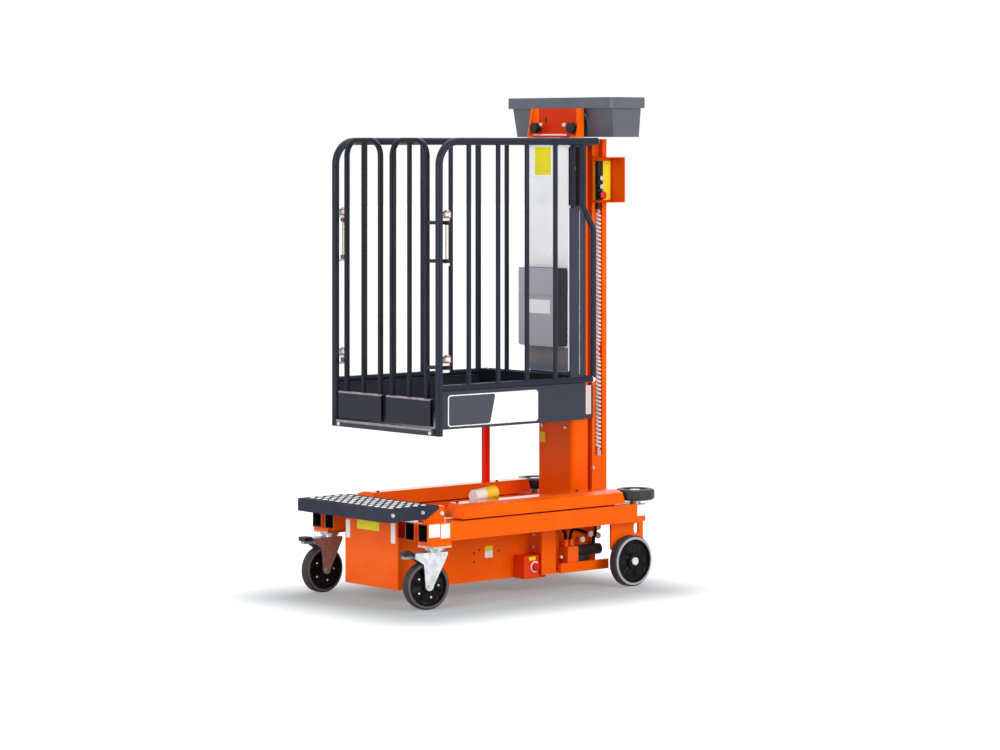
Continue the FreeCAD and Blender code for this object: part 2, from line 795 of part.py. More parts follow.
def castor_pedal(side):
    """The brake pedal at the fork's trailing end: a metal lever with a thick black tread on it."""
    y = side * castor_y
    tip_x = castor_x - castor_pedal_reach
    ear_x = castor_wheel_x - castor_fork_ear
    high_z = castor_fork_crown_z
    tread_z = high_z - castor_tread_sink
    lever = box(tip_x + castor_tread_edge, ear_x + castor_lever_lap, y - castor_lever_width / 2,
                y + castor_lever_width / 2, high_z - castor_lever_height, high_z)
    tread = rounded_block(tip_x, tip_x + castor_pedal_length, y - castor_pedal_width / 2, y + castor_pedal_width / 2,
                          tread_z, tread_z + castor_tread_height, castor_tread_edge, Z_AXIS)
    return fuse([lever, tread])


def castor_parts(side):
    """A castor wheel's tyre and hub."""
    centre = V(castor_wheel_x, side * castor_y, castor_wheel_radius)
    axis = V(0, side, 0)
    rubber = tyre(castor_wheel_radius, castor_wheel_width, castor_tyre_depth, centre, axis)
    middle = hub(castor_wheel_radius - castor_tyre_depth, castor_wheel_width, castor_axle_radius + axle_running_fit,
                 castor_boss_radius, centre, axis)
    return rubber, middle


def roller_pins():
    """Two upright pins with a washer, each on a beam's rear corner."""
    pins = []
    for side in SIDES.values():
        x, y = roller_x, side * roller_y
        base_z = beam_top_z + roller_lift
        top_z = base_z + roller_height - roller_dish_depth + running_gap
        pins.append(fuse([
            rod(V(x, y, beam_top_z), V(x, y, base_z - running_gap), roller_washer_radius),
            rod(V(x, y, beam_top_z), V(x, y, top_z), roller_pin_radius),
            rod(V(x, y, top_z), V(x, y, top_z + roller_washer_height), roller_washer_radius),
        ]))
    return Part.makeCompound(pins)


def guide_roller(side):
    """A horizontal bumper roller with rounded edges and a dished top."""
    bore = roller_pin_radius + axle_running_fit
    top = roller_height - roller_dish_depth
    edge = roller_radius - roller_edge
    section = [(bore, 0), (edge, 0), (roller_radius, roller_edge), (roller_radius, roller_height - roller_edge),
               (edge, roller_height), (roller_dish_radius, roller_height),
               (roller_dish_radius - roller_dish_depth, top), (bore, top)]
    return turned(section, V(roller_x, side * roller_y, beam_top_z + roller_lift), Z_AXIS)


def outer_mast():
    """The fixed section: a channel open to the front with lips, and a cord groove down each side."""
    half = mast_half
    wall = mast_wall
    groove_x0, groove_x1 = outer_front_x + groove_front, outer_front_x + groove_front + groove_length
    outline = [(outer_front_x, lip_y), (outer_front_x, half), (groove_x0, half), (groove_x0, half - groove_depth),
               (groove_x1, half - groove_depth), (groove_x1, half), (outer_rear_x, half)]
    inside = [(outer_front_x + lip_wall, lip_y), (outer_front_x + lip_wall, half - wall - groove_depth),
              (outer_rear_x - wall, half - wall - groove_depth)]
    right = outline + [(x, -y) for x, y in reversed(outline)]
    left = [(x, -y) for x, y in inside] + list(reversed(inside))
    body = plan(right + left, mast_bottom_z, mast_top_z)
    covers = []
    for side in SIDES.values():
        covers.append(box(groove_x0, groove_x1, side * (half - groove_depth), side * (half - groove_gap),
                          mast_bottom_z, groove_cover_top_z))
    return fuse([body] + covers)


def mast_foot():
    """The foot plate that the fixed section is welded to, bolted between the beams."""
    half = mast_half + foot_margin
    z0 = deck_z + deck_thickness
    plate = box(rear_cross_x + foot_margin / 2, outer_rear_x + foot_margin / 2, -half, half, z0, z0 + foot_thickness)
    collar = box(outer_front_x, outer_rear_x, -half + foot_margin, half - foot_margin,
                 z0 + foot_thickness, mast_bottom_z)
    return fuse([plate, collar])


def inner_mast():
    """The sliding section: a closed box with a T-rail behind that runs inside the fixed section's lips."""
    half = mast_half
    z0 = mast_bottom_z + moving_gap
    tube = rounded_block(inner_front_x, inner_rear_x + inner_corner_radius, -half, half, z0, mast_top_z,
                         inner_corner_radius, Z_AXIS)
    tube = tube.common(box(inner_front_x, inner_rear_x, -half, half, z0, mast_top_z))
    bore = rounded_block(inner_front_x + mast_wall, inner_rear_x + inner_corner_radius - mast_wall,
                         -half + mast_wall, half - mast_wall, z0 - 1, mast_top_z + 1,
                         inner_corner_radius - mast_wall, Z_AXIS)
    bore = bore.common(box(inner_front_x, inner_rear_x - mast_wall, -half, half, z0 - 1, mast_top_z + 1))
    flange_x = flange_front_x
    web = box(inner_rear_x, flange_x, -rail_half_width, rail_half_width, z0, mast_top_z)
    web_bore = box(inner_rear_x - 1, flange_x + 1, -rail_half_width + mast_wall, rail_half_width - mast_wall,
                   z0 - 1, mast_top_z + 1)
    flange = box(flange_x, flange_x + rail_flange_wall, -rail_flange_half_width, rail_flange_half_width,
                 z0, mast_top_z)
    return fuse([tube.cut(bore), web.cut(web_bore), flange])


def mast_pads():
    """Slide pads between the fixed section's lips and the T-rail, low on the rail and high on the lips."""
    lip_back = outer_front_x + lip_wall
    z0 = mast_bottom_z + moving_gap
    low, high = [], []
    for side in SIDES.values():
        y0, y1 = side * lip_y, side * rail_flange_half_width
        low.append(box(lip_back + running_gap, flange_front_x, y0, y1, z0, z0 + pad_height))
        high.append(box(lip_back, flange_front_x - running_gap, y0, y1, mast_top_z - pad_height, mast_top_z))
    return Part.makeCompound(low), Part.makeCompound(high)


def lift_barrel():
    """The lift cylinder's barrel, standing on the mast foot behind the T-rail."""
    z0 = mast_bottom_z
    base = rod(V(cylinder_x, 0, z0), V(cylinder_x, 0, z0 + 2 * barrel_wall), barrel_radius)
    wall = ring(V(cylinder_x, 0, z0), V(cylinder_x, 0, z0 + barrel_length), barrel_radius, barrel_radius - barrel_wall)
    gland_z = z0 + barrel_length
    gland = ring(V(cylinder_x, 0, gland_z - gland_length), V(cylinder_x, 0, gland_z), barrel_radius, rod_radius + running_gap)
    return fuse([base, wall, gland])


def lift_rod():
    """The rod and piston, with the lug that lifts the T-rail by its top."""
    z0 = mast_bottom_z + 2 * barrel_wall + moving_gap
    top_z = mast_bottom_z + barrel_length + rod_rise
    piston = rod(V(cylinder_x, 0, z0), V(cylinder_x, 0, z0 + piston_length), barrel_radius - barrel_wall - piston_gap)
    shaft = rod(V(cylinder_x, 0, z0), V(cylinder_x, 0, top_z), rod_radius)
    half = rod_radius + rod_lug_margin
    lug = box(flange_rear_x, cylinder_x + rod_radius, -half, half, top_z - rod_lug_height, top_z)
    return fuse([piston, shaft, lug])


def carriage():
    """The lift carriage: a channel round the inner section, hooks at its foot and head, and arms under the floor."""
    hook_back = hook_x + hook_sheet
    half = [(carriage_front_x, carriage_half), (hook_back, carriage_half), (hook_back, carriage_half - hook_reach),
            (hook_x, carriage_half - hook_reach), (hook_x, carriage_inner),
            (carriage_front_x + carriage_sheet, carriage_inner)]
    outline = half + [(x, -y) for x, y in reversed(half)]
    body = plan(outline, carriage_bottom_z, carriage_top_z)
    arms = []
    for side in SIDES.values():
        arms.append(box(carriage_front_x - arm_length, carriage_front_x + carriage_sheet,
                        side * (carriage_half - arm_width), side * carriage_half,
                        floor_top_z - floor_sheet - floor_rib, floor_top_z - floor_sheet))
    inside = box(carriage_front_x + carriage_sheet, hook_x, -carriage_inner, carriage_inner,
                 carriage_bottom_z, carriage_top_z)
    head_z = carriage_top_z - head_hook_height
    behind_cheeks = box(cheek_rear_x, hook_x, -carriage_half - 1, carriage_half + 1,
                        carriage_bottom_z + hook_strap_height, head_z)
    between_hooks = box(cheek_rear_x, hook_back + 1, -carriage_half - 1, carriage_half + 1,
                        carriage_bottom_z + foot_hook_height, head_z)
    return fuse([body] + arms).cut(fuse([inside, behind_cheeks, between_hooks]))


def carriage_pads():
    """Slide pads between the inner section and the carriage's hooks. The foot's pads show beside the mast."""
    low_z, high_z = carriage_bottom_z + hook_strap_height, carriage_bottom_z + foot_hook_height
    head_z = carriage_top_z - head_hook_height
    pads = []
    for side in SIDES.values():
        mast_y, hook_y = side * (mast_half + running_gap), side * (carriage_half - hook_reach)
        for z0, z1, front_x, outer_y in ((low_z, high_z, cheek_rear_x, carriage_half),
                                         (head_z, carriage_top_z, cheek_rear_x - pad_length, carriage_inner)):
            behind = box(inner_rear_x + running_gap, hook_x, hook_y, side * carriage_inner, z0, z1)
            beside = box(front_x, hook_x, mast_y, side * outer_y, z0, z1)
            pads.append(fuse([behind, beside]))
    return Part.makeCompound(pads)


def platform_floor():
    """The floor plate, its tongue between the carriage's arms, a middle rib and the sill under the gates."""
    half = floor_half_width
    x0, x1 = cage_front_x + sill_depth / 2, carriage_front_x - toe_sheet - running_gap
    rear_x = rear_post_x + floor_overhang
    z0 = floor_top_z - floor_sheet
    return fuse([
        box(x0, rear_x, -half, half, z0, floor_top_z),
        box(rear_x, x1, -carriage_half, carriage_half, z0, floor_top_z),
        box(x0, x1, -floor_rib_sheet / 2, floor_rib_sheet / 2, z0 - floor_rib, floor_top_z),
        box(cage_front_x - sill_depth / 2, x0, -half, half, cage_bottom_z, floor_top_z),
    ])


def side_frame(side):
    """One barred side of the cage: front post and top rail in one bend, bars, rear plate and toe rail."""
    y = side * cage_half_width
    front = V(cage_front_x, y, cage_bottom_z)
    corner = V(cage_front_x, y, rail_z)
    end = V(rail_end_x, y, rail_z)
    toe_end = V(rear_post_x + joggle_shift, y, toe_rail_z)
    pieces = [bent_tube([front, corner, end], post_radius, cage_bend),
              rod(V(cage_front_x, y, toe_rail_z), toe_end, toe_rail_radius)]
    for number in range(1, bar_count + 1):
        x = cage_front_x + number * bar_pitch
        pieces.append(rod(V(x, y, toe_rail_z), V(x, y, rail_z), bar_radius))
    pieces.append(box(rear_post_x - rear_plate_width, rear_post_x, y - rear_plate_sheet / 2,
                      y + rear_plate_sheet / 2, toe_rail_z, rear_plate_top_z))
    low_x = rear_post_x + joggle_shift
    joggle = [V(rear_post_x, y, rail_z), V(rear_post_x, y, rear_plate_top_z),
              V(low_x, y, rear_plate_top_z - joggle_drop), V(low_x, y, toe_rail_z)]
    pieces.append(bent_tube(joggle, joggle_radius, joggle_bend))
    return fuse(pieces)


def toe_board(side):
    """The side's toe board under its toe rail: a sheet folded inwards against the floor's edge."""
    outer = side * (cage_half_width + toe_sheet)
    inner = side * cage_half_width
    x0, x1 = cage_front_x + post_radius + running_gap, rear_post_x + toe_board_overhang
    z0 = floor_top_z - toe_sheet
    z1 = toe_rail_z - toe_rail_radius - running_gap
    sheet = box(x0, x1, outer, inner, z0, z1)
    foot = box(x0, x1, inner, side * (floor_half_width + running_gap), z0, z0 + toe_sheet)
    return fuse([sheet, foot])


def rear_rails():
    """The frame across the cage's rear: two rails, two bars, and plates from the rails to the carriage."""
    x = rail_end_x - rear_rail_inset
    reach = cage_half_width - post_radius - running_gap
    pieces = []
    for z in (rail_z, toe_rail_z):
        pieces.append(rod(V(x, -reach, z), V(x, reach, z), rear_rail_radius))
    for side in SIDES.values():
        pieces.append(rod(V(x, side * rear_bar_y, toe_rail_z), V(x, side * rear_bar_y, rail_z), bar_radius))
        y1 = side * (carriage_half - rear_rail_lug + rear_plate_sheet)
        for z in (rail_z, toe_rail_z):
            pieces.append(box(x, carriage_front_x, side * (carriage_half - rear_rail_lug), y1,
                              z - rear_rail_radius, z + rear_rail_radius))
    return fuse(pieces)


def gate(side):
    """One gate leaf: a tube bent over the top, a middle bar, a toe sheet and three hinge arms."""
    outer_y, inner_y = side * (cage_half_width - gate_side_gap), side * gate_middle_gap
    top_z = cage_top_z - gate_tube_radius
    foot_z = floor_top_z + moving_gap
    x = cage_front_x
    hoop = bent_tube([V(x, outer_y, foot_z), V(x, outer_y, top_z), V(x, inner_y, top_z), V(x, inner_y, foot_z)],
                     gate_tube_radius, gate_bend)
    middle_y = (outer_y + inner_y) / 2
    bar = rod(V(x, middle_y, foot_z), V(x, middle_y, top_z), bar_radius)
    toe = box(x - gate_toe_sheet / 2, x + gate_toe_sheet / 2, outer_y + side * gate_toe_outer,
              inner_y - side * gate_toe_inner, foot_z, floor_top_z + gate_toe_height)
    pieces = [hoop, bar, toe]
    base = V(0, 0, -hinge_arm_height / 2)
    for drop in hinge_drops:
        start, end = V(x, outer_y, cage_top_z - drop), V(hinge_x, side * cage_half_width, cage_top_z - drop)
        run = end - start
        across = V(-run.y, run.x, 0).normalize() * (hinge_arm_width / 2)
        outline = [start + across + base, end + across + base, end - across + base, start - across + base]
        arm = prism(outline, V(0, 0, hinge_arm_height))
        knuckle = rod(end + base, end - base, hinge_knuckle_radius)
        bore = rod(end + base * 2, end - base * 2, hinge_pin_radius + axle_running_fit)
        pieces.append(fuse([arm, knuckle]).cut(bore))
    return fuse(pieces)


def gate_hinge(side):
    """A corner post's two hinge sets: each a pin held between two lugs that are welded to the post."""
    y = side * cage_half_width
    reach = hinge_arm_height / 2 + lug_gap
    upper, middle, lower = [cage_top_z - drop for drop in hinge_drops]
    sets = []
    for low, high in ((middle, upper), (lower, lower)):
        pieces = [rod(V(hinge_x, y, low - reach), V(hinge_x, y, high + reach), hinge_pin_radius)]
        for z in (low - reach - lug_height, high + reach):
            plate = box(cage_front_x, hinge_x, y - hinge_knuckle_radius, y + hinge_knuckle_radius, z, z + lug_height)
            pieces.append(plate)
            pieces.append(rod(V(hinge_x, y, z), V(hinge_x, y, z + lug_height), hinge_knuckle_radius))
        post = rod(V(cage_front_x, y, cage_bottom_z), V(cage_front_x, y, cage_top_z), post_radius)
        sets.append(fuse(pieces).cut(post))
    return sets


def gate_hinges():
    """All the gates' hinge pins and lugs: an upper and a lower set on each corner post."""
    sets = []
    for side in SIDES.values():
        sets.extend(gate_hinge(side))
    return Part.makeCompound(sets)


def back_panel():
    """The pale moulded cover on the carriage's front."""
    return rounded_block(carriage_front_x - panel_sheet, carriage_front_x, -carriage_half, carriage_half,
                         panel_bottom_z, panel_top_z, panel_corner_radius, X_AXIS)


def document_case():
    """The document case: a shallow moulded box whose lid overlaps its body."""
    rear_x = carriage_front_x - panel_sheet
    half = case_width / 2
    z0 = panel_bottom_z + case_rise
    z1 = z0 + case_height
    body = rounded_block(rear_x - case_depth, rear_x, -half, half, z0, z1, case_edge_radius, X_AXIS)
    lid = rounded_block(rear_x - case_depth - case_lid_lip, rear_x, -half - case_lid_lip, half + case_lid_lip,
                        z1 - case_lid_height, z1 + case_lid_lip, case_edge_radius, Z_AXIS)
    return fuse([body, lid])


def kick_panel():
    """The lower panel between the floor and the back panel."""
    half = carriage_half - kick_panel_margin
    return box(carriage_front_x - toe_sheet, carriage_front_x, -half, half, floor_top_z - floor_sheet,
               panel_bottom_z)


def upper_controls():
    """The upper control box beside the back panel, with a small indicator on its face."""
    x0 = carriage_front_x - upper_control_face
    y0 = -carriage_half - upper_control_width
    z1 = carriage_top_z - upper_control_drop
    body = rounded_block(x0, x0 + upper_control_depth, y0, -carriage_half, z1 - upper_control_height, z1,
                         upper_control_edge, Z_AXIS)
    y = y0 + indicator_inset
    z = z1 - indicator_drop
    lamp = rod(V(x0 + upper_control_face, y, z), V(x0 - indicator_length, y, z), indicator_radius)
    return fuse([body, lamp])


def tray_bracket():
    """The folded bracket on the carriage's top that carries the tool tray's front rim."""
    back_x = carriage_front_x + carriage_sheet
    half = bracket_half_width
    pieces = [box(bracket_face_x, bracket_face_x + bracket_sheet, -half, half, bracket_shelf_z, bracket_top_z),
              box(back_x, bracket_face_x, -half, half, bracket_shelf_z, bracket_shelf_z + bracket_sheet)]
    tab_y = carriage_inner - bracket_tab_inset
    outline = [(back_x, bracket_shelf_z), (bracket_face_x, bracket_shelf_z), (bracket_face_x, bracket_top_z),
               (bracket_face_x - bracket_sheet, bracket_top_z)]
    for side in SIDES.values():
        pieces.append(prism([V(x, side * (half - bracket_sheet), z) for x, z in outline],
                            V(0, side * bracket_sheet, 0)))
        pieces.append(box(back_x, back_x + bracket_sheet, side * tab_y, side * (tab_y - bracket_tab_width),
                          carriage_top_z - bracket_tab_drop, bracket_shelf_z + bracket_sheet))
    return fuse(pieces)


def tray_clamps():
    """Two hand knobs on the front of the tray's bracket."""
    knobs = []
    for side in SIDES.values():
        y, z = side * clamp_knob_y, bracket_shelf_z + clamp_knob_rise
        start = V(bracket_face_x, y, z)
        end = V(bracket_face_x - clamp_knob_length, y, z)
        middle = (start + end) / 2
        knobs.append(fuse([rod(start, end, clamp_stem_radius), rod(middle, end, clamp_knob_radius)]))
    return Part.makeCompound(knobs)


def tool_tray():
    """The tool tray: a tapered bin with a deep flanged rim."""
    rim_x1 = tray_rim_front_x + tray_rim_length
    half = tray_rim_half_width
    top = (tray_rim_front_x + tray_rim_overhang, rim_x1 - tray_rim_overhang, -half + tray_rim_overhang,
           half - tray_rim_overhang)
    bottom = (top[0] + tray_front_inset, top[1] - tray_rear_inset, top[2] + tray_side_inset,
              top[3] - tray_side_inset)
    body = frustum(bottom, top, tray_bottom_z, tray_top_z)
    rim = rounded_block(tray_rim_front_x, rim_x1, -half, half, tray_top_z - tray_rim_height, tray_top_z,
                        tray_corner_radius, Z_AXIS)
    rim_under = rounded_block(tray_rim_front_x + tray_wall, rim_x1 - tray_wall, -half + tray_wall, half - tray_wall,
                              tray_top_z - tray_rim_height - 1, tray_top_z - tray_wall,
                              tray_corner_radius - tray_wall, Z_AXIS)
    inner_bottom = (bottom[0] + tray_wall, bottom[1] - tray_wall, bottom[2] + tray_wall, bottom[3] - tray_wall)
    inner_top = (top[0] + tray_wall, top[1] - tray_wall, top[2] + tray_wall, top[3] - tray_wall)
    cavity = frustum(inner_bottom, inner_top, tray_bottom_z + tray_wall, tray_top_z + 0.5)
    return fuse([rim.cut(rim_under), body]).cut(cavity)


def lower_control_hood():
    """The hood on the mast's near side, open in front and towards the cage."""
    y1 = -mast_half
    y0 = y1 - hood_depth
    x0, x1 = outer_front_x, outer_front_x + hood_length
    z1 = hood_top_z
    shell = box(x0, x1, y0, y1, hood_bottom_z, z1)
    room = box(x0 - 1, x1 - hood_wall, y0 - 1, y1 - hood_wall, hood_bottom_z + hood_wall, z1 - hood_wall)
    return shell.cut(room)


def lower_controls():
    """The control panel inside the hood: a backing plate, a raised strip, two buttons and a stop."""
    y1 = -mast_half - hood_wall
    x0 = outer_front_x + control_panel_margin
    x1 = outer_front_x + hood_length - hood_wall - control_panel_margin
    z0 = hood_bottom_z + hood_wall + control_panel_margin
    z1 = hood_top_z - hood_wall - 2 * control_panel_margin
    plate = box(x0, x1, y1 - control_panel_sheet, y1, z0, z1)
    strip_y = y1 - control_panel_sheet - control_strip_depth
    strip = box(x0, x0 + control_strip_width, strip_y, y1, z0, z1)
    x = x0 + control_strip_width / 2
    stop_z = z0 + stop_radius + stop_margin
    pieces = [plate, strip, rod(V(x, strip_y + 1, stop_z), V(x, strip_y - stop_length, stop_z), stop_radius)]
    for number in (1, 2):
        z = stop_z + number * button_pitch
        pieces.append(rod(V(x, strip_y + 1, z), V(x, strip_y - button_length, z), button_radius))
    return fuse(pieces)


def cord_glands():
    """The strain reliefs at the cord's two ends."""
    top = rod(V(cord_x, cord_y, hood_bottom_z), V(cord_x, cord_y, hood_bottom_z - cord_top_gap), gland_radius)
    z0 = groove_cover_top_z
    low = box(cord_x - gland_radius, cord_x + gland_radius, groove_y, cord_y - gland_radius,
              z0, z0 + cord_foot_height)
    return Part.makeCompound([top, low])


def curly_cord():
    """The coiled control cord, as the tube that its turns fill."""
    return rod(V(cord_x, cord_y, groove_cover_top_z + cord_foot_height), V(cord_x, cord_y, hood_bottom_z - cord_top_gap),
               cord_radius)


def rest_post():
    """The square post that the lowered platform rests on."""
    z0 = cover_top_z
    z1 = floor_top_z - floor_sheet - running_gap
    half = rest_post_size / 2
    inner = half - rest_post_wall
    outer = box(rest_post_x - half, rest_post_x + half, rest_post_y - half, rest_post_y + half, z0, z1)
    bore = box(rest_post_x - inner, rest_post_x + inner, rest_post_y - inner, rest_post_y + inner, z0 - 1,
               z1 - rest_post_wall)
    return outer.cut(bore)


def charging_inlet():
    """The charging inlet: a round shroud, tilted up, on a foot on the deck beside the near cover."""
    tilt = radians(inlet_tilt)
    way = V(cos(tilt), 0, sin(tilt))
    deck_top_z = deck_z + deck_thickness
    start = V(inlet_x, inlet_y, deck_top_z + inlet_rise)
    end = start + way * inlet_length
    body = ring(start, end, inlet_radius, inlet_radius - inlet_wall)
    back = rod(start, start + way * inlet_back_length, inlet_radius)
    foot = box(inlet_x, inlet_x + inlet_foot_length, inlet_y - inlet_foot_width / 2, inlet_y + inlet_foot_width / 2,
               deck_top_z, deck_top_z + inlet_rise)
    return fuse([body, back, foot.cut(rod(start, end, inlet_radius - inlet_wall / 2))])


def nodes():
    """Every sub-part's name and shape."""
    parts = {
        "chassis_frame": side_beams(),
        "castor_plates": castor_plates(),
        "step": step(),
        "battery_housing": battery_housing(),
        "pump_cradle": pump_cradle(),
        "power_pack": power_pack(),
        "isolator": isolator(),
        "rear_axles": rear_axles(),
        "roller_pins": roller_pins(),
        "outer_mast": outer_mast(),
        "mast_foot": mast_foot(),
        "inner_mast": inner_mast(),
        "lift_barrel": lift_barrel(),
        "lift_rod": lift_rod(),
        "carriage": carriage(),
        "carriage_pads": carriage_pads(),
        "platform_floor": platform_floor(),
        "rear_rails": rear_rails(),
        "gate_hinges": gate_hinges(),
        "wheel_brackets": wheel_brackets(),
        "beam_covers": Part.makeCompound([beam_cover(side) for side in SIDES.values()]),
        "side_frames": Part.makeCompound([side_frame(side) for side in SIDES.values()]),
        "toe_boards": Part.makeCompound([toe_board(side) for side in SIDES.values()]),
        "back_panel": back_panel(),
        "document_case": document_case(),
        "kick_panel": kick_panel(),
        "upper_controls": upper_controls(),
        "tray_bracket": tray_bracket(),
        "tray_clamps": tray_clamps(),
        "tool_tray": tool_tray(),
        "lower_control_hood": lower_control_hood(),
        "lower_controls": lower_controls(),
        "cord_glands": cord_glands(),
        "curly_cord": curly_cord(),
        "rest_post": rest_post(),
        "charging_inlet": charging_inlet(),
    }
    parts["inner_mast_pads"], parts["outer_mast_pads"] = mast_pads()
    for name, side in SIDES.items():
        parts[f"rear_tyre_{name}"] = rear_tyre(side)
        parts[f"rear_hub_{name}"] = rear_hub(side)
        parts[f"guide_roller_{name}"] = guide_roller(side)
        rubber, middle = castor_parts(side)
        parts[f"castor_fork_{name}"] = parked(castor_fork(side), name)
        parts[f"castor_pedal_{name}"] = parked(castor_pedal(side), name)
        parts[f"castor_tyre_{name}"] = parked(rubber, name)
        parts[f"castor_hub_{name}"] = parked(middle, name)
        parts[f"gate_{name}"] = gate(side)
    return parts


os.makedirs("parts", exist_ok=True)
for name, shape in nodes().items():
    shape.exportStep(f"parts/{name}.step")
    print(name, round(shape.Volume), len(shape.Solids), shape.isValid())
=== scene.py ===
# %% [markdown]
# # Dressing a vertical mast lift
# The machine's solids come ready made: a low wheeled base, a mast in two sections, a barred cage and
# a tool tray. This lesson gives them their finishes and adds what is too fine for the solids: the
# tread's cups, bolts, springs, blank plates, wheel faces, buttons and the coiled cord.
# Everything is in metres, in the frame of the solids, so a piece goes where the solid says.

# %% Load the solids
import json
import math

import bmesh
import bpy
import numpy as np
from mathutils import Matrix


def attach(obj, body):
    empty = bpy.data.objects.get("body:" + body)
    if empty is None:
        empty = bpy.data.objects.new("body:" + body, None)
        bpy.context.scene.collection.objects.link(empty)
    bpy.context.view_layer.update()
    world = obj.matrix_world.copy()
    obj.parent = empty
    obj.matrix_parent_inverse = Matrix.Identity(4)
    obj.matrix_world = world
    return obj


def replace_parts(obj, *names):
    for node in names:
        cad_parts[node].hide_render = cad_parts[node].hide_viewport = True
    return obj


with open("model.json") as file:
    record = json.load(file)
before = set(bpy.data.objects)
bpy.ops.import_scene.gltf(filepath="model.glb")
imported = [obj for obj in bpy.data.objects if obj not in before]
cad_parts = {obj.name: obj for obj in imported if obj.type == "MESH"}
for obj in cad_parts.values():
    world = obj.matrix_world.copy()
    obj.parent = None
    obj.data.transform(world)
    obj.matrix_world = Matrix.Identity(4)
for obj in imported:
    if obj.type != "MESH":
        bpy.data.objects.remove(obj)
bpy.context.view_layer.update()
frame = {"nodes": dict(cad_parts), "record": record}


# %% [markdown]
# ## The camera
# The photo is a long shot from the gate end and the control side, with the camera level and at
# about eye height. A level camera keeps the posts upright, and the picture is then shifted down
# to the machine, which is what a view camera does with its rising front.

# %% Place the camera
def stand(name, data):
    """A new object that shows this data, linked to the scene."""
    thing = bpy.data.objects.new(name, data)
    bpy.context.scene.collection.objects.link(thing)
    return thing


camera_data = bpy.data.cameras.new("level_camera")
camera_data.sensor_width = 36.0
camera_data.lens = 118.44
camera_data.shift_y = -0.234
camera_data.clip_end = 200.0
camera = stand("level_camera", camera_data)
camera.location = (-8.387, -9.865, 1.762)
camera.rotation_euler = (math.radians(90), 0.0, math.radians(-40.8))
bpy.context.scene.camera = camera
bpy.context.scene.view_settings.view_transform = "Standard"

# %% [markdown]
# ## The studio
# The machine stands on white paper under large soft lamps. The paper has to come out white while it
# keeps the grey pool of shadow under the base. So the floor is grey paint, a little blue so that the
# orange light bounced onto it reads neutral, plus a glow that is low round the machine and grows away
# from it: the low glow is a painted shadow pool on top of the real shadow. The camera and mirror-like
# surfaces see all of the glow, and the machine is lit by a share of it. The world does the same: a
# plain soft light for the object, and white for what looks at it.

# %% Helpers for shader nodes
def add(tree, kind, inputs=(), **settings):
    """A new shader node. Settings are its own properties. Inputs pairs a socket's name or number with
    a value or with the output of another node."""
    node = tree.nodes.new("ShaderNode" + kind)
    for label, value in settings.items():
        setattr(node, label, value)
    for socket, value in dict(inputs).items():
        if isinstance(value, bpy.types.NodeSocket):
            tree.links.new(value, node.inputs[socket])
        else:
            node.inputs[socket].default_value = value
    return node


def calculate(tree, operation, first, second=0.0):
    """A math node. Each of first and second is a number or the output of another node."""
    return add(tree, "Math", {0: first, 1: second}, operation=operation).outputs[0]


def rise(tree, value, low, high, start=0.0, end=1.0):
    """Start where value is low, end where it is high, and a smooth step between the two."""
    span = {"Value": value, "From Min": low, "From Max": high, "To Min": start, "To Max": end}
    return add(tree, "MapRange", span, interpolation_type="SMOOTHSTEP").outputs["Result"]


def object_axes(tree):
    """The X, Y and Z of the Object coordinates, which are metres in the machine's frame."""
    coords = add(tree, "TexCoord").outputs["Object"]
    return add(tree, "SeparateXYZ", {0: coords}).outputs


# %% Light the studio
def seen_directly(tree):
    """1 for rays that look at the backdrop: the camera's, and those off gloss and through glass."""
    ray = add(tree, "LightPath").outputs
    looking = calculate(tree, "MAXIMUM", ray["Is Camera Ray"], ray["Is Glossy Ray"])
    return calculate(tree, "MAXIMUM", looking, ray["Is Transmission Ray"])


def light_world(strength):
    """Plain soft light of this strength on the object, and white where the backdrop shows."""
    world = bpy.data.worlds.new("studio")
    bpy.context.scene.world = world
    world.use_nodes = True
    tree = world.node_tree
    tree.nodes.clear()
    soft, paper = (add(tree, "Background", {"Color": (1.0, 1.0, 1.0, 1.0), "Strength": level}).outputs[0]
                   for level in (strength, 1.0))
    mix = add(tree, "MixShader", {0: seen_directly(tree), 1: soft, 2: paper})
    add(tree, "OutputWorld", {"Surface": mix.outputs[0]})


def softbox(name, place, aim, size, watts):
    """A square area lamp at place that looks at aim."""
    lamp = bpy.data.lights.new(name, "AREA")
    lamp.shape = "SQUARE"
    lamp.size = size
    lamp.energy = watts
    holder = stand(name, lamp)
    toward = np.array(aim) - np.array(place)
    flat = math.hypot(toward[0], toward[1])
    holder.location = place
    holder.rotation_euler = (math.atan2(flat, -toward[2]), 0.0, math.atan2(-toward[0], toward[1]))


light_world(0.50)
softbox("lamp_gate_side", (-4.2, -1.6, 2.6), (0.0, 0.0, 0.9), 2.6, 88.0)
softbox("lamp_gate_low", (-4.6, -0.6, 0.9), (0.4, 0.0, 0.5), 1.4, 34.0)
softbox("lamp_control_side", (0.8, -4.6, 3.0), (0.0, 0.0, 0.8), 2.6, 96.0)
softbox("lamp_control_low", (0.9, -4.8, 0.9), (0.2, 0.0, 0.5), 1.6, 40.0)
softbox("lamp_above", (0.3, 0.4, 4.8), (0.0, 0.0, 0.0), 3.0, 95.0)
softbox("lamp_behind", (3.4, 3.2, 3.2), (0.0, 0.0, 0.9), 2.6, 40.0)


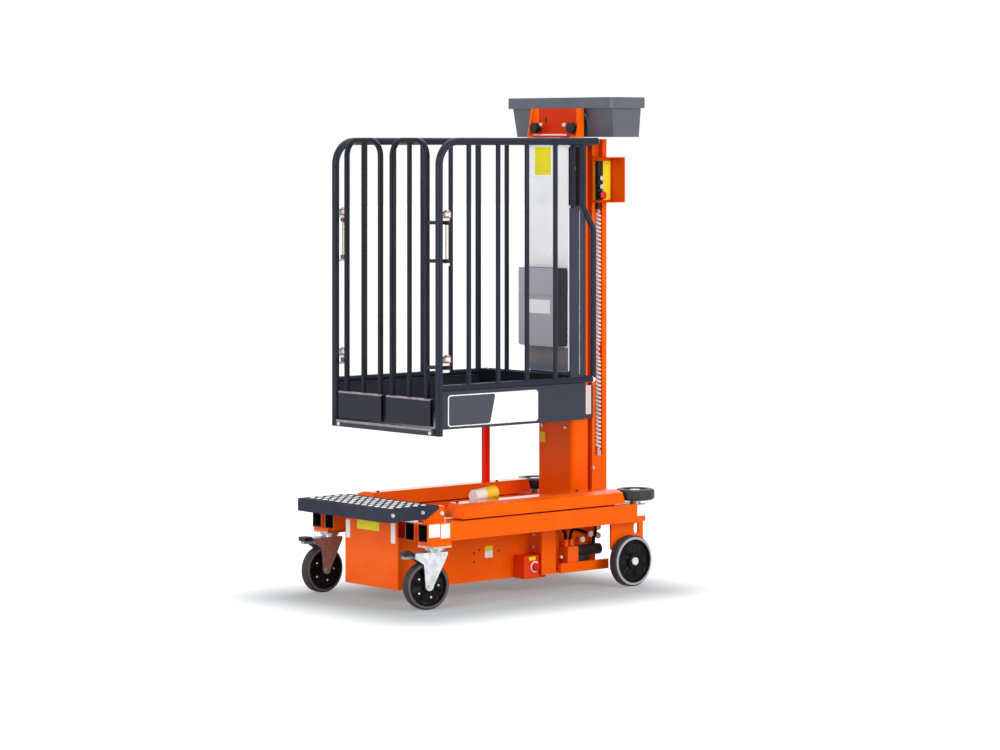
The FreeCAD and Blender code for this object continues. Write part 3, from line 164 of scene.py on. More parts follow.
# %% Lay the floor
def lay_floor(half, low_glow, shade, covered, feather, bounce):
    """A flat square of grey paint, a little blue against the orange light that bounces onto it. Its glow
    is low_glow in the covered rectangle, which lies about the point shade, and grows to 1 over the
    feather's width outside it: that low glow paints a shadow pool round the machine, on top of its real
    shadow. The share bounce of the glow also lights the machine from below, as white paper does."""
    mesh = bpy.data.meshes.new("floor")
    mesh.from_pydata([(-half, -half, 0.0), (half, -half, 0.0), (half, half, 0.0), (-half, half, 0.0)],
                     [], [(0, 1, 2, 3)])
    paper = bpy.data.materials.new("floor_paper")
    paper.use_nodes = True
    tree = paper.node_tree
    tree.nodes.clear()
    axes = object_axes(tree)
    squares = []
    for axis, middle, reach in zip("XY", shade, covered):
        off = calculate(tree, "ABSOLUTE", calculate(tree, "SUBTRACT", axes[axis], middle))
        away = calculate(tree, "MAXIMUM", calculate(tree, "SUBTRACT", off, reach), 0.0)
        squares.append(calculate(tree, "MULTIPLY", away, away))
    distance = calculate(tree, "SQRT", calculate(tree, "ADD", *squares))
    # Painted shadow: the glow is low round the machine, which darkens the floor there as a shadow pool.
    painted_shadow_pool = rise(tree, distance, 0.0, feather, low_glow, 1.0)
    share = calculate(tree, "MAXIMUM", seen_directly(tree), bounce)
    glow = add(tree, "Emission", {"Strength": calculate(tree, "MULTIPLY", painted_shadow_pool, share)})
    matt = add(tree, "BsdfDiffuse", {"Color": (0.272, 0.302, 0.312, 1.0)})
    both = add(tree, "AddShader", {0: matt.outputs[0], 1: glow.outputs[0]})
    add(tree, "OutputMaterial", {"Surface": both.outputs[0]})
    mesh.materials.append(paper)
    floor = stand("floor", mesh)


lay_floor(60.0, 0.22, (-0.10, -0.10), (0.54, 0.33), 0.56, 0.45)
print("studio ready")

# %% [markdown]
# ## Effects that several finishes share
# Powder coat has a faint orange-peel skin, moulded plastic has a fine grain, zinc has a cloudy
# bloom, and every part of a used machine carries dust near the floor and a few scuffs. Each effect
# is a shader group that is built once. It reads Object coordinates in metres, so its size is the
# same on every part. It has one number as its input, and it puts out only a height or a mask.


# %% Make the groups
def new_group(name, label, usual, result):
    """An empty shader group with one number input, its usual value, and one number output."""
    tree = bpy.data.node_groups.new(name, "ShaderNodeTree")
    tree.interface.new_socket(label, in_out="INPUT", socket_type="NodeSocketFloat").default_value = usual
    tree.interface.new_socket(result, in_out="OUTPUT", socket_type="NodeSocketFloat")
    return tree, tree.nodes.new("NodeGroupInput").outputs[0], tree.nodes.new("NodeGroupOutput").inputs[0]


def noise(tree, scale, detail, stretch=(1.0, 1.0, 1.0)):
    """Noise on Object coordinates. Scale is in waves to the metre, and stretch squeezes it along an axis."""
    coords = add(tree, "TexCoord").outputs["Object"]
    mapped = add(tree, "Mapping", {"Vector": coords, "Scale": stretch}).outputs["Vector"]
    return add(tree, "TexNoise", {"Vector": mapped, "Scale": scale, "Detail": detail}).outputs["Fac"]


def make_grain():
    """Height: even noise whose bumps are Size metres apart."""
    tree, size, height = new_group("grain", "Size", 0.002, "Height")
    tree.links.new(noise(tree, calculate(tree, "DIVIDE", 1.0, size), 2.0), height)
    return tree


def make_clouds():
    """Mask: soft patches about Size metres across, from 0 to 1."""
    tree, size, mask = new_group("clouds", "Size", 0.15, "Mask")
    tree.links.new(rise(tree, noise(tree, calculate(tree, "DIVIDE", 1.0, size), 4.0), 0.3, 0.7), mask)
    return tree


def make_floor_dust():
    """Mask: 1 at the floor, falling to 0 at Height metres, broken up by patches."""
    tree, height, mask = new_group("floor_dust", "Height", 0.3, "Mask")
    low = rise(tree, calculate(tree, "DIVIDE", object_axes(tree)["Z"], height), 0.0, 1.0, 1.0, 0.0)
    patches = rise(tree, noise(tree, 22.0, 6.0), 0.35, 0.7)
    tree.links.new(calculate(tree, "MULTIPLY", low, patches), mask)
    return tree


def make_scuffs():
    """Mask: thin sparse lines. Noise is squeezed hard along one axis, and only its peaks are kept."""
    tree, amount, mask = new_group("scuffs", "Amount", 0.5, "Mask")
    lines = rise(tree, noise(tree, 9.0, 3.0, (2.0, 2.0, 60.0)), 0.66, 0.72)
    where = rise(tree, noise(tree, 7.0, 2.0), 0.52, 0.62)
    tree.links.new(calculate(tree, "MULTIPLY", calculate(tree, "MULTIPLY", lines, where), amount), mask)
    return tree


groups = {"grain": make_grain(), "clouds": make_clouds(), "dust": make_floor_dust(), "scuffs": make_scuffs()}
print("shader groups:", ", ".join(groups))

# %% [markdown]
# ## The finishes
# Each finish is one Principled shader. Its colour drifts slightly between two near tones in clouds,
# dust greys it near the floor, and scuffs show the bare tone. Roughness drifts with the clouds too,
# so that a highlight breaks up as it does on real paint. A zone on an axis switches the colour: where
# one moulding has two colours, such as the inlet with its pale back, and also where a finish carries
# painted shade or a painted highlight, as said where that finish is mixed.

# %% Build one finish
dust_height, dust_tone, scuffed_tone = 0.35, (0.30, 0.28, 0.26), (0.42, 0.40, 0.38)
bore_middles, bore_half_width = (0.2475, 0.3245), 0.0265
bore_level, bore_half_height = 0.289, 0.0335
smoother, rougher, grazing_span, coat_roughness = 0.04, 0.06, (0.72, 0.90), 0.08


def in_a_bore(tree, axes):
    """1 inside the beams' bores: where |y| is near the middle of either tube, and z near its middle."""
    def near(value, middle, reach):
        """1 where the value lies within reach of the middle."""
        off = calculate(tree, "ABSOLUTE", calculate(tree, "SUBTRACT", value, middle))
        return calculate(tree, "LESS_THAN", off, reach)

    sideways = calculate(tree, "ABSOLUTE", axes["Y"])
    tubes = [near(sideways, middle, bore_half_width) for middle in bore_middles]
    return calculate(tree, "MULTIPLY", calculate(tree, "MAXIMUM", *tubes),
                     near(axes["Z"], bore_level, bore_half_height))


def use_group(tree, name, amount):
    """Places a shared group in a material, sets its one input, and gives its one output."""
    node = add(tree, "Group", node_tree=groups[name])
    node.inputs[0].default_value = amount
    return node.outputs[0]


def blend_colour(tree, mask, first, second):
    """The colour first where the mask is 0 and second where it is 1. Each may be another node's output."""
    first, second = ((*colour, 1.0) if isinstance(colour, tuple) else colour for colour in (first, second))
    return add(tree, "Mix", {"Factor": mask, 6: first, 7: second}, data_type="RGBA").outputs[2]


def finish(name, colour, drift, roughness, grain_size=0.003, grain_height=0.0001, metallic=0.0, dust=0.06,
           scuff=0.12, clouds=0.12, zones=(), specular=0.2, tint=(1.0, 1.0, 1.0), grazing=False, inside=None):
    """A finish as the text above says. Zones are (axis, limit, colour): beyond the limit, that colour.
    Tint colours the mirror light and inside is the colour painted in the bores as their shade. A grazing
    finish has its clear coat at low angles only."""
    material = bpy.data.materials.new(name)
    material.use_nodes = True
    tree = material.node_tree
    shader = tree.nodes["Principled BSDF"].inputs
    patches = use_group(tree, "clouds", clouds)
    tone = blend_colour(tree, patches, colour, drift)
    axes = object_axes(tree)
    for axis, limit, other in zones:
        way = "GREATER_THAN" if axis[0] == "+" else "LESS_THAN"
        tone = blend_colour(tree, calculate(tree, way, axes[axis[1]], limit), tone, other)
    # Painted shade: inside the beams' bores the colour turns to inside.
    if inside:
        tone = blend_colour(tree, in_a_bore(tree, axes), tone, inside)
    dusty = calculate(tree, "MULTIPLY", use_group(tree, "dust", dust_height), dust)
    tone = blend_colour(tree, dusty, tone, dust_tone)
    tone = blend_colour(tree, use_group(tree, "scuffs", scuff), tone, scuffed_tone)
    tree.links.new(tone, shader["Base Color"])
    rough = rise(tree, patches, 0.0, 1.0, roughness - smoother, roughness + rougher)
    tree.links.new(rough, shader["Roughness"])
    grain = {"Strength": 1.0, "Distance": grain_height, "Height": use_group(tree, "grain", grain_size)}
    tree.links.new(add(tree, "Bump", grain).outputs["Normal"], shader["Normal"])
    if grazing:
        slant = add(tree, "LayerWeight", {"Blend": 0.5}).outputs["Facing"]
        tree.links.new(rise(tree, slant, *grazing_span), shader["Coat Weight"])
    shader["Metallic"].default_value = metallic
    shader["Coat Roughness"].default_value = coat_roughness
    shader["Specular IOR Level"].default_value = specular
    shader["Specular Tint"].default_value = (*tint, 1.0)
    return material


# %% Mix the paints
orange_tone, deep_orange, bore_painted_shade = (0.95, 0.125, 0.0015), (0.92, 0.105, 0.0015), (0.012, 0.012, 0.014)
orange_coat = {"colour": orange_tone, "drift": deep_orange, "roughness": 0.30, "grain_size": 0.004,
               "dust": 0.0, "tint": orange_tone, "specular": 0.35}
orange = finish("orange_powder_coat", **orange_coat, grazing=True)
# The frame's bores are near black: painted shade inside the tubes.
frame_orange = finish("orange_powder_coat_frame", **orange_coat, grazing=True, inside=bore_painted_shade)
# The bracket is darker red between y -0.112 and 0.112: painted shade where the tray shades the bracket's
# middle.
bracket_orange_painted_shade = finish("orange_powder_coat_bracket_painted_shade", **orange_coat,
                        zones=(("+Y", -0.112, (0.60, 0.030, 0.001)), ("+Y", 0.112, orange_tone)))
anthracite = finish("anthracite_powder_coat", (0.034, 0.038, 0.055), (0.029, 0.033, 0.049), 0.32, 0.0025)
# The cage's tubes, the gates and their toe sheets take darker copies of the anthracite coat: painted shade,
# darkest on the gates.
tube_coat_painted_shade = finish("anthracite_tube_coat_painted_shade", (0.018, 0.021, 0.036), (0.015, 0.018, 0.031), 0.32, 0.0025,
                   specular=0.12)
gate_coat_painted_shade = finish("anthracite_gate_coat_painted_shade", (0.010, 0.011, 0.018), (0.008, 0.009, 0.015), 0.32, 0.0025,
                   specular=0.12)
sheet_coat_painted_shade = finish("anthracite_sheet_coat_painted_shade", (0.019, 0.020, 0.030), (0.016, 0.017, 0.025), 0.32, 0.0025,
                    specular=0.15)
step_coat = finish("anthracite_step_coat", (0.039, 0.043, 0.063), (0.034, 0.038, 0.056), 0.55, 0.0025,
                   specular=0.03, zones=(("+Z", 0.3806, (0.006, 0.007, 0.012)),))
black_coat = {"colour": (0.014, 0.014, 0.016), "drift": (0.020, 0.020, 0.022), "roughness": 0.36}
black_paint = finish("black_paint", **black_coat)
pump_paint = finish("pump_paint", **black_coat, zones=(("-X", 0.3362, orange_tone),))
switch_paint = finish("switch_paint", (0.86, 0.050, 0.002), (0.80, 0.042, 0.002), 0.32, 0.004,
                      zones=(("-Y", -0.2256, (0.70, 0.010, 0.008)),), tint=orange_tone, specular=0.5)
post_red = finish("red_powder_coat", (0.95, 0.018, 0.001), (0.92, 0.014, 0.001), 0.30, 0.004,
                  tint=orange_tone, specular=0.5)
print("paints:", orange.name, anthracite.name, black_paint.name)

# %% Mix the metals
zinc = finish("zinc_plate", (0.52, 0.54, 0.56), (0.38, 0.39, 0.41), 0.34, 0.004, 0.00003, metallic=0.8,
              clouds=0.02)
bright_zinc = finish("bright_zinc", (0.86, 0.80, 0.72), (0.78, 0.72, 0.64), 0.3, 0.002, 0.00002)
hard_chrome = finish("hard_chrome", (0.80, 0.80, 0.82), (0.76, 0.77, 0.79), 0.14, 0.002, 0.00001,
                     metallic=1.0, dust=0.0, scuff=0.0)
# Nearly white above z 0.3819, near black below: the cup tops are wear and a painted highlight, their lower
# parts painted shade in the holes.
tread_steel = finish("tread_steel_wear_highlight_and_shade", (0.96, 0.96, 0.98), (0.62, 0.62, 0.66), 0.30, 0.002, 0.00004,
                     dust=0.0, scuff=0.0, clouds=0.03, zones=(("-Z", 0.3819, (0.004, 0.004, 0.006)),))
spring_steel = finish("spring_steel", (0.90, 0.86, 0.86), (0.80, 0.74, 0.74), 0.28, 0.001, 0.00003)
spring_cup = finish("spring_cup", (0.52, 0.09, 0.08), (0.44, 0.07, 0.06), 0.34, 0.001, 0.00003)
# A pale grey for the toe sheets' folds, the sill's round edge and the rear plate's bead: wear on the folds,
# and a painted highlight on the sill edge and the bead.
wear_and_highlight_edge = finish("wear_and_highlight_edge", (0.34, 0.30, 0.32), (0.22, 0.20, 0.22), 0.3, 0.001, 0.00003, clouds=0.03)

# %% Mix the plastics and rubbers
black_plastic = finish("black_moulding", (0.004, 0.003, 0.003), (0.007, 0.006, 0.006), 0.30, 0.0012, 0.00012,
                       dust=0.01, specular=0.08)
dark_moulding = {"colour": (0.012, 0.012, 0.013), "drift": (0.017, 0.017, 0.018), "roughness": 0.42,
                 "grain_size": 0.0012, "grain_height": 0.00012}
pedal_plastic = finish("pedal_moulding", **dark_moulding, zones=(("-Z", 0.2055, (0.36, 0.37, 0.40)),))
gland_plastic = finish("gland_plastic", **dark_moulding, zones=(("-Z", 0.6, (0.62, 0.40, 0.30)),))
roller_plastic = finish("roller_moulding", (0.034, 0.034, 0.037), (0.028, 0.028, 0.030), 0.4, 0.0012, 0.00012)
slide_plastic = finish("slide_plastic", (0.80, 0.64, 0.60), (0.74, 0.58, 0.54), 0.42, 0.002, 0.00005)
white_panel = finish("white_panel", (0.96, 0.96, 0.99), (0.94, 0.94, 0.98), 0.30, 0.003, 0.00006,
                     specular=0.35)
# A sheet for the white panel below the case, brownish grey above z 0.868 and bluish below: painted shade on
# the panel.
panel_shade_finish = finish("panel_shade_sheet", (0.22, 0.19, 0.21), (0.19, 0.165, 0.18), 0.3, 0.003, 0.00006,
                      specular=0.35, zones=(("-Z", 0.868, (0.15, 0.16, 0.23)),))
tray_plastic = finish("tray_plastic", (0.100, 0.107, 0.140), (0.086, 0.092, 0.120), 0.30, 0.0018, 0.0002,
                      specular=0.4)
# Near black, with a light grey face towards the gate beyond x 0.3262.
case_plastic = finish("case_plastic", (0.014, 0.013, 0.016), (0.019, 0.018, 0.021), 0.42, 0.0014, 0.00015,
                      zones=(("-X", 0.3262, (0.42, 0.41, 0.47)),))
kick_plastic = finish("kick_plastic", (0.04, 0.042, 0.05), (0.032, 0.034, 0.04), 0.5, 0.0016, 0.00015)
inlet_plastic = finish("inlet_plastic", (0.86, 0.56, 0.03), (0.80, 0.50, 0.03), 0.38, 0.002, 0.00008,
                       zones=(("-X", -0.122, (0.80, 0.72, 0.68)),))
control_plastic = finish("control_plastic", (0.94, 0.80, 0.02), (0.90, 0.74, 0.02), 0.36, 0.002, 0.00006,
                         zones=(("-Y", -0.1184, (0.014, 0.014, 0.016)),))
red_plastic = finish("red_moulding", (0.66, 0.012, 0.008), (0.58, 0.010, 0.006), 0.30, 0.002, 0.00008,
                     specular=0.4)
pale_button = finish("pale_button", (0.62, 0.61, 0.58), (0.56, 0.55, 0.52), 0.36, 0.002, 0.00003)
green_lens = finish("green_lens", (0.03, 0.42, 0.10), (0.02, 0.34, 0.08), 0.2, 0.002, 0.00002, specular=0.5)
# The cord's pale pink colour is partly its rubber and partly painted highlight and a painted reflection of
# the orange mast.
cord_rubber_with_painted_highlight = finish("cord_rubber_with_painted_highlight", (0.84, 0.75, 0.69), (0.70, 0.62, 0.57), 0.34, 0.001, 0.00005,
                     specular=0.5)
plate_white = finish("blank_white_plate", (0.93, 0.93, 0.94), (0.87, 0.87, 0.89), 0.4, 0.003, 0.00002,
                     scuff=0.3)
plate_yellow = finish("blank_yellow_plate", (0.90, 0.76, 0.02), (0.84, 0.70, 0.02), 0.4, 0.003, 0.00002,
                      scuff=0.3)
plate_dark = finish("blank_dark_plate", (0.060, 0.064, 0.082), (0.052, 0.056, 0.072), 0.34, 0.003, 0.00004)

# %% Mix the tyres
ring_edge = (0.0190, 0.0210)


def tyre_finish(name, centre, toward, ring):
    """A dark brown-grey tread, which is painted shade on grey rubber. Towards either side of the tyre,
    away from its centre along the axle, it turns to the colour of the side ring."""
    material = finish(name, (0.040, 0.031, 0.031), (0.028, 0.021, 0.021), 0.6, 0.0016, 0.0002)
    tree = material.node_tree
    coords = add(tree, "TexCoord").outputs["Object"]
    away = add(tree, "VectorMath", {0: coords, 1: centre}, operation="SUBTRACT").outputs[0]
    along = add(tree, "VectorMath", {0: away, 1: toward}, operation="DOT_PRODUCT").outputs["Value"]
    side = calculate(tree, "ABSOLUTE", along)
    colour = tree.nodes["Principled BSDF"].inputs["Base Color"]
    tread = colour.links[0].from_socket
    tree.links.new(blend_colour(tree, rise(tree, side, *ring_edge), tread, ring), colour)
    return material


swivel_x, swivel_y, trail, axle_z, parked_turn = -0.474, 0.322, 0.038, 0.090, math.radians(-12.0)
back_x, back_y = math.cos(parked_turn), math.sin(parked_turn)
near_castor = (swivel_x - trail * back_x, -swivel_y - trail * back_y, axle_z)
wheels = {"castor_near": (near_castor, (back_y, -back_x, 0.0)),
          "castor_far": ((swivel_x - trail, swivel_y, axle_z), (0.0, 1.0, 0.0)),
          "rear_near": ((0.521, -0.338, 0.100), (0.0, -1.0, 0.0)),
          "rear_far": ((0.521, 0.338, 0.100), (0.0, 1.0, 0.0))}
rings = {"castor": (0.11, 0.095, 0.095), "rear": (0.40, 0.40, 0.44)}
tyres = {}
for name, (centre, outward) in wheels.items():
    kind, side = name.split("_")
    tyres[kind + "_tyre_" + side] = tyre_finish("grey_tyre_" + name, centre, outward, rings[kind])
print("tyres:", ", ".join(tyres))
print("finishes mixed:", len(bpy.data.materials))

# %% [markdown]
# ## Finishes on the solids
# Every solid gets the finish that its part has on the machine, or a darker copy of it as painted shade
# for the cage's tubes, gates and toe sheets. The record's slots already say which parts are painted and
# which are moulded, so most go by slot, and a few are named one by one.

# %% Put the finishes on
by_slot = {"orange_paint": orange, "grey_paint": anthracite, "zinc": zinc, "steel_rod": hard_chrome,
           "black_paint": black_paint, "black_plastic": black_plastic, "grey_tyre": black_plastic,
           "slide_plastic": slide_plastic, "white_panel": white_panel, "grey_plastic": tray_plastic,
           "yellow_plastic": inlet_plastic, "red_plastic": red_plastic}
by_node = {"document_case": case_plastic, "kick_panel": kick_plastic, "lower_controls": control_plastic,
           "chassis_frame": frame_orange, "power_pack": pump_paint, "isolator": switch_paint,
           "cord_glands": gland_plastic, "rest_post": post_red, "gate_hinges": bright_zinc,
           "rear_axles": bright_zinc, "tray_bracket": bracket_orange_painted_shade, "step": step_coat,
           "side_frames": tube_coat_painted_shade, "rear_rails": tube_coat_painted_shade, **tyres}
for side in ("near", "far"):
    by_node |= {"castor_pedal_" + side: pedal_plastic, "gate_" + side: gate_coat_painted_shade,
                "guide_roller_" + side: roller_plastic}
for part in frame["record"]["subparts"]:
    material = by_node.get(part["node"], by_slot[part["material_slot"]])
    for holder in frame["nodes"][part["node"]].material_slots:
        holder.material = material

# %% [markdown]
# ## From arrays to meshes
# All the new pieces are made one way. A formula gives a grid of points: rows run one way over the
# surface and columns the other. One function joins each point to its neighbours and makes the mesh,
# closes the poles where a row has shrunk to a point, and turns the faces outwards.


# %% Make a mesh from grids
def skin(name, sheets, material, body, sharp=40.0):
    """A mesh of grids. Sheets has the shape (copies, rows, columns, 3), or (rows, columns, 3) for one.
    Every point makes a four-cornered face with the next in its row, the next in its column and the
    one across. A row is a ring, so its last point joins its first."""
    sheets = np.asarray(sheets, dtype=float)
    sheets = sheets[None] if sheets.ndim == 3 else sheets
    count, rows, columns = sheets.shape[:3]
    row, column = np.meshgrid(np.arange(rows - 1), np.arange(columns), indexing="ij")
    below, beside = row + 1, (column + 1) % columns
    one = np.stack([row * columns + column, row * columns + beside, below * columns + beside,
                    below * columns + column], axis=-1).reshape(-1, 4)
    faces = (np.arange(count)[:, None, None] * rows * columns + one).reshape(-1, 4)
    mesh = bpy.data.meshes.new(name)
    mesh.vertices.add(count * rows * columns)
    mesh.vertices.foreach_set("co", sheets.reshape(-1))
    mesh.loops.add(faces.size)
    mesh.loops.foreach_set("vertex_index", faces.reshape(-1))
    mesh.polygons.add(len(faces))
    mesh.polygons.foreach_set("loop_start", np.arange(len(faces)) * 4)
    mesh.polygons.foreach_set("loop_total", np.full(len(faces), 4))
    mesh.update(calc_edges=True)
    edit = bmesh.new()
    edit.from_mesh(mesh)
    bmesh.ops.remove_doubles(edit, verts=edit.verts, dist=1e-6)
    bmesh.ops.dissolve_degenerate(edit, edges=edit.edges, dist=1e-7)
    bmesh.ops.recalc_face_normals(edit, faces=edit.faces)
    edit.to_mesh(mesh)
    edit.free()
    mesh.polygons.foreach_set("use_smooth", np.ones(len(mesh.polygons), dtype=bool))
    mesh.set_sharp_from_angle(angle=math.radians(sharp))
    mesh.materials.append(material)
    piece = stand(name, mesh)
    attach(piece, body)
    print(name, len(mesh.polygons), "faces on", body)
    return piece


# %% Shapes as functions of two parameters
def spun(profile, sides):
    """A profile of (radius, height) pairs turned about z: x = radius cos a, y = radius sin a, z = height."""
    radius, height = np.array(profile, dtype=float).T
    angle = np.linspace(0.0, 2 * math.pi, sides, endpoint=False)
    ring = np.stack([np.cos(angle), np.sin(angle)], axis=-1)
    grid = np.empty((len(radius), sides, 3))
    grid[..., :2] = radius[:, None, None] * ring
    grid[..., 2] = height[:, None]
    return grid


def six_sided(profile):
    """A turned profile whose radius is divided by the cosine of the angle from the nearest flat's
    middle, which makes every ring a hexagon."""
    grid = spun(profile, 24)
    angle = np.arctan2(grid[..., 1], grid[..., 0])
    off = (angle + math.pi / 6) % (math.pi / 3) - math.pi / 6
    grid[..., :2] /= np.cos(off)[..., None]
    return grid


def rounded_outline(width, height, corner, steps=6):
    """A rectangle's outline with round corners: each corner is a quarter circle about its own centre."""
    quarter = np.linspace(0.0, math.pi / 2, steps)
    start = np.repeat(np.arange(4) * math.pi / 2, steps)
    angle = start + np.tile(quarter, 4)
    side = np.stack([np.sign(np.cos(start + math.pi / 4)), np.sign(np.sin(start + math.pi / 4))], axis=-1)
    centre = side * np.array([width / 2 - corner, height / 2 - corner])
    return centre + corner * np.stack([np.cos(angle), np.sin(angle)], axis=-1)


def plate(width, height, corner, thick, edge):
    """A flat plate about the origin in x and y: its outline is drawn in by the edge at the top, lies
    full width below, and shrinks to a point at the middle of the top and of the underside."""
    outline = rounded_outline(width, height, corner)
    inward = 1.0 - 2 * edge / np.array([width, height])
    levels = ((0.0, thick), (1.0, thick), (0.3, thick), (0.0, thick - edge * 0.7), (0.0, 0.0), (0.0, 0.0))
    grid = np.empty((len(levels), len(outline), 3))
    grid[..., :2] = np.stack([outline * inward ** share for share, height in levels])
    grid[[0, -1], :, :2] = 0.0
    grid[..., 2] = np.array([height for share, height in levels])[:, None]
    return grid


def unit(vectors):
    """Each vector divided by its length."""
    return vectors / np.linalg.norm(vectors, axis=-1, keepdims=True)


def sleeve(path, rings):
    """Rings about the points of a path, with both ends shrunk to the path's end points."""
    return np.concatenate([path[:1, None] + 0 * rings[:1], rings, path[-1:, None] + 0 * rings[-1:]])


def pipe(path, radius, sides):
    """Rings of this radius about each point of a path. Each ring stands square to the path: its own
    axes come from the path's direction and a direction that the path never takes."""
    path = np.asarray(path, dtype=float)
    along = unit(np.gradient(path, axis=0))
    spare = np.eye(3)[np.argmin(np.abs(along).max(axis=0))]
    first = unit(np.cross(along, spare))
    second = np.cross(along, first)
    angle = np.linspace(0.0, 2 * math.pi, sides, endpoint=False)[None, :, None]
    rings = path[:, None] + radius * (np.cos(angle) * first[:, None] + np.sin(angle) * second[:, None])
    return sleeve(path, rings)


def spiral(radius, low, high, turns, steps=14):
    """A helix about z from height low to high: the angle grows evenly with the height."""
    share = np.linspace(0.0, 1.0, int(turns * steps) + 1)
    angle = 2 * math.pi * turns * share
    return np.stack([radius * np.cos(angle), radius * np.sin(angle), low + (high - low) * share], axis=-1)


def placed(grid, toward, at):
    """A grid drawn round z, turned so that z looks toward a direction and y stays upright, then moved."""
    ahead = unit(np.array(toward, dtype=float))
    upright = (1.0, 0.0, 0.0) if abs(ahead[2]) > 0.9 else (0.0, 0.0, 1.0)
    level = unit(np.cross(upright, ahead))
    return grid @ np.stack([level, np.cross(ahead, level), ahead]) + np.array(at)


def copies(grid, toward, places):
    """The same grid turned one way and put at each of several places."""
    return np.stack([placed(grid, toward, place) for place in places])


to_gate, to_rear, to_near, to_far, upward = (-1, 0, 0), (1, 0, 0), (0, -1, 0), (0, 1, 0), (0, 0, 1)

# %% [markdown]
# ## The coiled cord
# The lower controls hang on a coiled lead that runs down the mast's side groove, so that it can
# stretch. It leaves a gland under the control hood and goes into a block near the mast's foot.
# A coil is a helix, and the cord is one smooth spline whose control points lie on it, sixteen to a
# turn, with a short straight end into each fitting.

# %% Wind the cord
cord_x, cord_y, cord_low, cord_high = 0.561, -0.101, 0.519, 1.487
cord_thick, cord_turns, coil_radius = 0.0086, 58, 0.0139
slack_height = 0.920


def wind_cord():
    """The control points: a tail up into the gland, the helix, and a tail down into the foot block.
    A bell curve makes the turns at the slack height narrower and shifts them off the axis."""
    share = np.linspace(0.0, 1.0, cord_turns * 16 + 1)
    angle = 2 * math.pi * cord_turns * share
    top, foot = cord_high - 0.012, cord_low + 0.012
    height = top - (top - foot) * share
    bell = np.exp(-((height - slack_height) / 0.035) ** 2)
    height = height + 0.006 * bell * np.sin((height - slack_height) / 0.02)
    radius = coil_radius - cord_thick / 2 - 0.0030 * bell
    coil = np.stack([radius * np.cos(angle) - 0.0028 * bell, radius * np.sin(angle), height], axis=-1)
    start = np.array([[0.0, 0.0, 0.004], [0.0, 0.0, -0.003], [0.006, 0.0, -0.008]]) + [0.0, 0.0, cord_high]
    end = np.array([[0.006, 0.0, 0.008], [0.0, 0.0, 0.003], [0.0, 0.0, -0.003]]) + [0.0, 0.0, cord_low]
    points = np.concatenate([start, coil, end]) + [cord_x, cord_y, 0.0]
    curve = bpy.data.curves.new("coiled_cord", "CURVE")
    curve.dimensions = "3D"
    spline = curve.splines.new("NURBS")
    spline.points.add(len(points) - 1)
    spline.points.foreach_set("co", np.insert(points, 3, 1.0, axis=1).reshape(-1))
    spline.order_u = 3
    spline.use_endpoint_u = True
    spline.resolution_u = 2
    curve.bevel_depth = cord_thick / 2
    curve.bevel_resolution = 2
    curve.use_fill_caps = True
    curve.materials.append(cord_rubber_with_painted_highlight)
    return stand("coiled_cord", curve), float(np.linalg.norm(np.diff(points, axis=0), axis=1).sum())


cord, cord_length = wind_cord()
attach(cord, "base")
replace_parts(cord, "curly_cord")
print("cord of", round(cord_length, 2), "m in", cord_turns, "turns")

# %% [markdown]
# ## The tread
# The step is a plate with rows of punched holes. Each hole's rim is drawn up into a cup that grips a
# boot. The cups' tops are nearly white, which is wear and a painted highlight, and their lower parts
# near black, which is painted shade in the holes; this gives the step its speckled look. A cup is a
# small profile turned about its own axis, and the same grid is set at every hole.

# %% Raise the tread
tread_top, step_x, pitch = 0.381, -0.542, 0.04
holes = [(step_x + pitch * row, pitch * column, tread_top) for row in range(-2, 3) for column in range(-6, 7)]
cup = spun([(0.0056, -0.0025), (0.0060, 0.0006), (0.0070, 0.0026), (0.0088, 0.0032), (0.0106, 0.0020),
            (0.0118, -0.0002)], 16)
skin("tread_cups", copies(cup, upward, holes), tread_steel, "base")
print("cups:", len(holes))

# %% [markdown]
# ## Bolts
# Bolts hold the step, the covers, the mast's foot and the tray's bracket. A hexagon head on a washer
# is a profile of straight lines whose rings are six-sided for the head, and round for the washer.

# %% Turn the bolts
def bolts(name, size, toward, places, body="base", metal=bright_zinc):
    """Hexagon bolts of one thread size that face one way, their washers and heads as two pieces."""
    washer = spun([(0.0, 0.0), (1.05 * size, 0.0), (1.05 * size, 0.16 * size), (size, 0.2 * size),
                   (0.0, 0.2 * size)], 24)
    head = six_sided([(0.0, 0.2 * size), (0.8 * size, 0.2 * size), (0.8 * size, 0.75 * size),
                      (0.7 * size, 0.85 * size), (0.0, 0.85 * size)])
    skin(name + "_washers", copies(washer, toward, places), metal, body, sharp=30.0)
    skin(name + "_heads", copies(head, toward, places), metal, body, sharp=30.0)


bolts("step_bolt", 0.008, to_near, [(-0.645, -0.280, 0.359), (-0.500, -0.280, 0.360)], metal=zinc)
bolts("step_bolt_far", 0.008, to_far, [(-0.645, 0.280, 0.359), (-0.500, 0.280, 0.360)], metal=zinc)
bolts("bracket_bolt", 0.008, to_near, [(-0.402, -0.2767, 0.350)])
bolts("bracket_bolt_far", 0.008, to_far, [(-0.402, 0.2767, 0.350)])
bolts("tube_bolt", 0.010, upward, [(-0.372, y, 0.324) for y in (-0.250, 0.250)])
bolts("cover_bolt", 0.006, upward, [(x, y, 0.382) for x in (-0.297, 0.320) for y in (-0.242, 0.242)],
      metal=black_paint)
bolts("mast_bolt", 0.008, to_gate, [(0.417, y, 0.616) for y in (0.069, -0.069)], "mast_section", zinc)
bolts("groove_bolt", 0.007, to_near, [(0.530, -0.106, z) for z in (0.358, 0.450)], metal=zinc)
bolts("foot_bolt", 0.010, upward, [(x, y, 0.312) for x in (0.428, 0.515, 0.598) for y in (-0.112, 0.112)],
      metal=zinc)
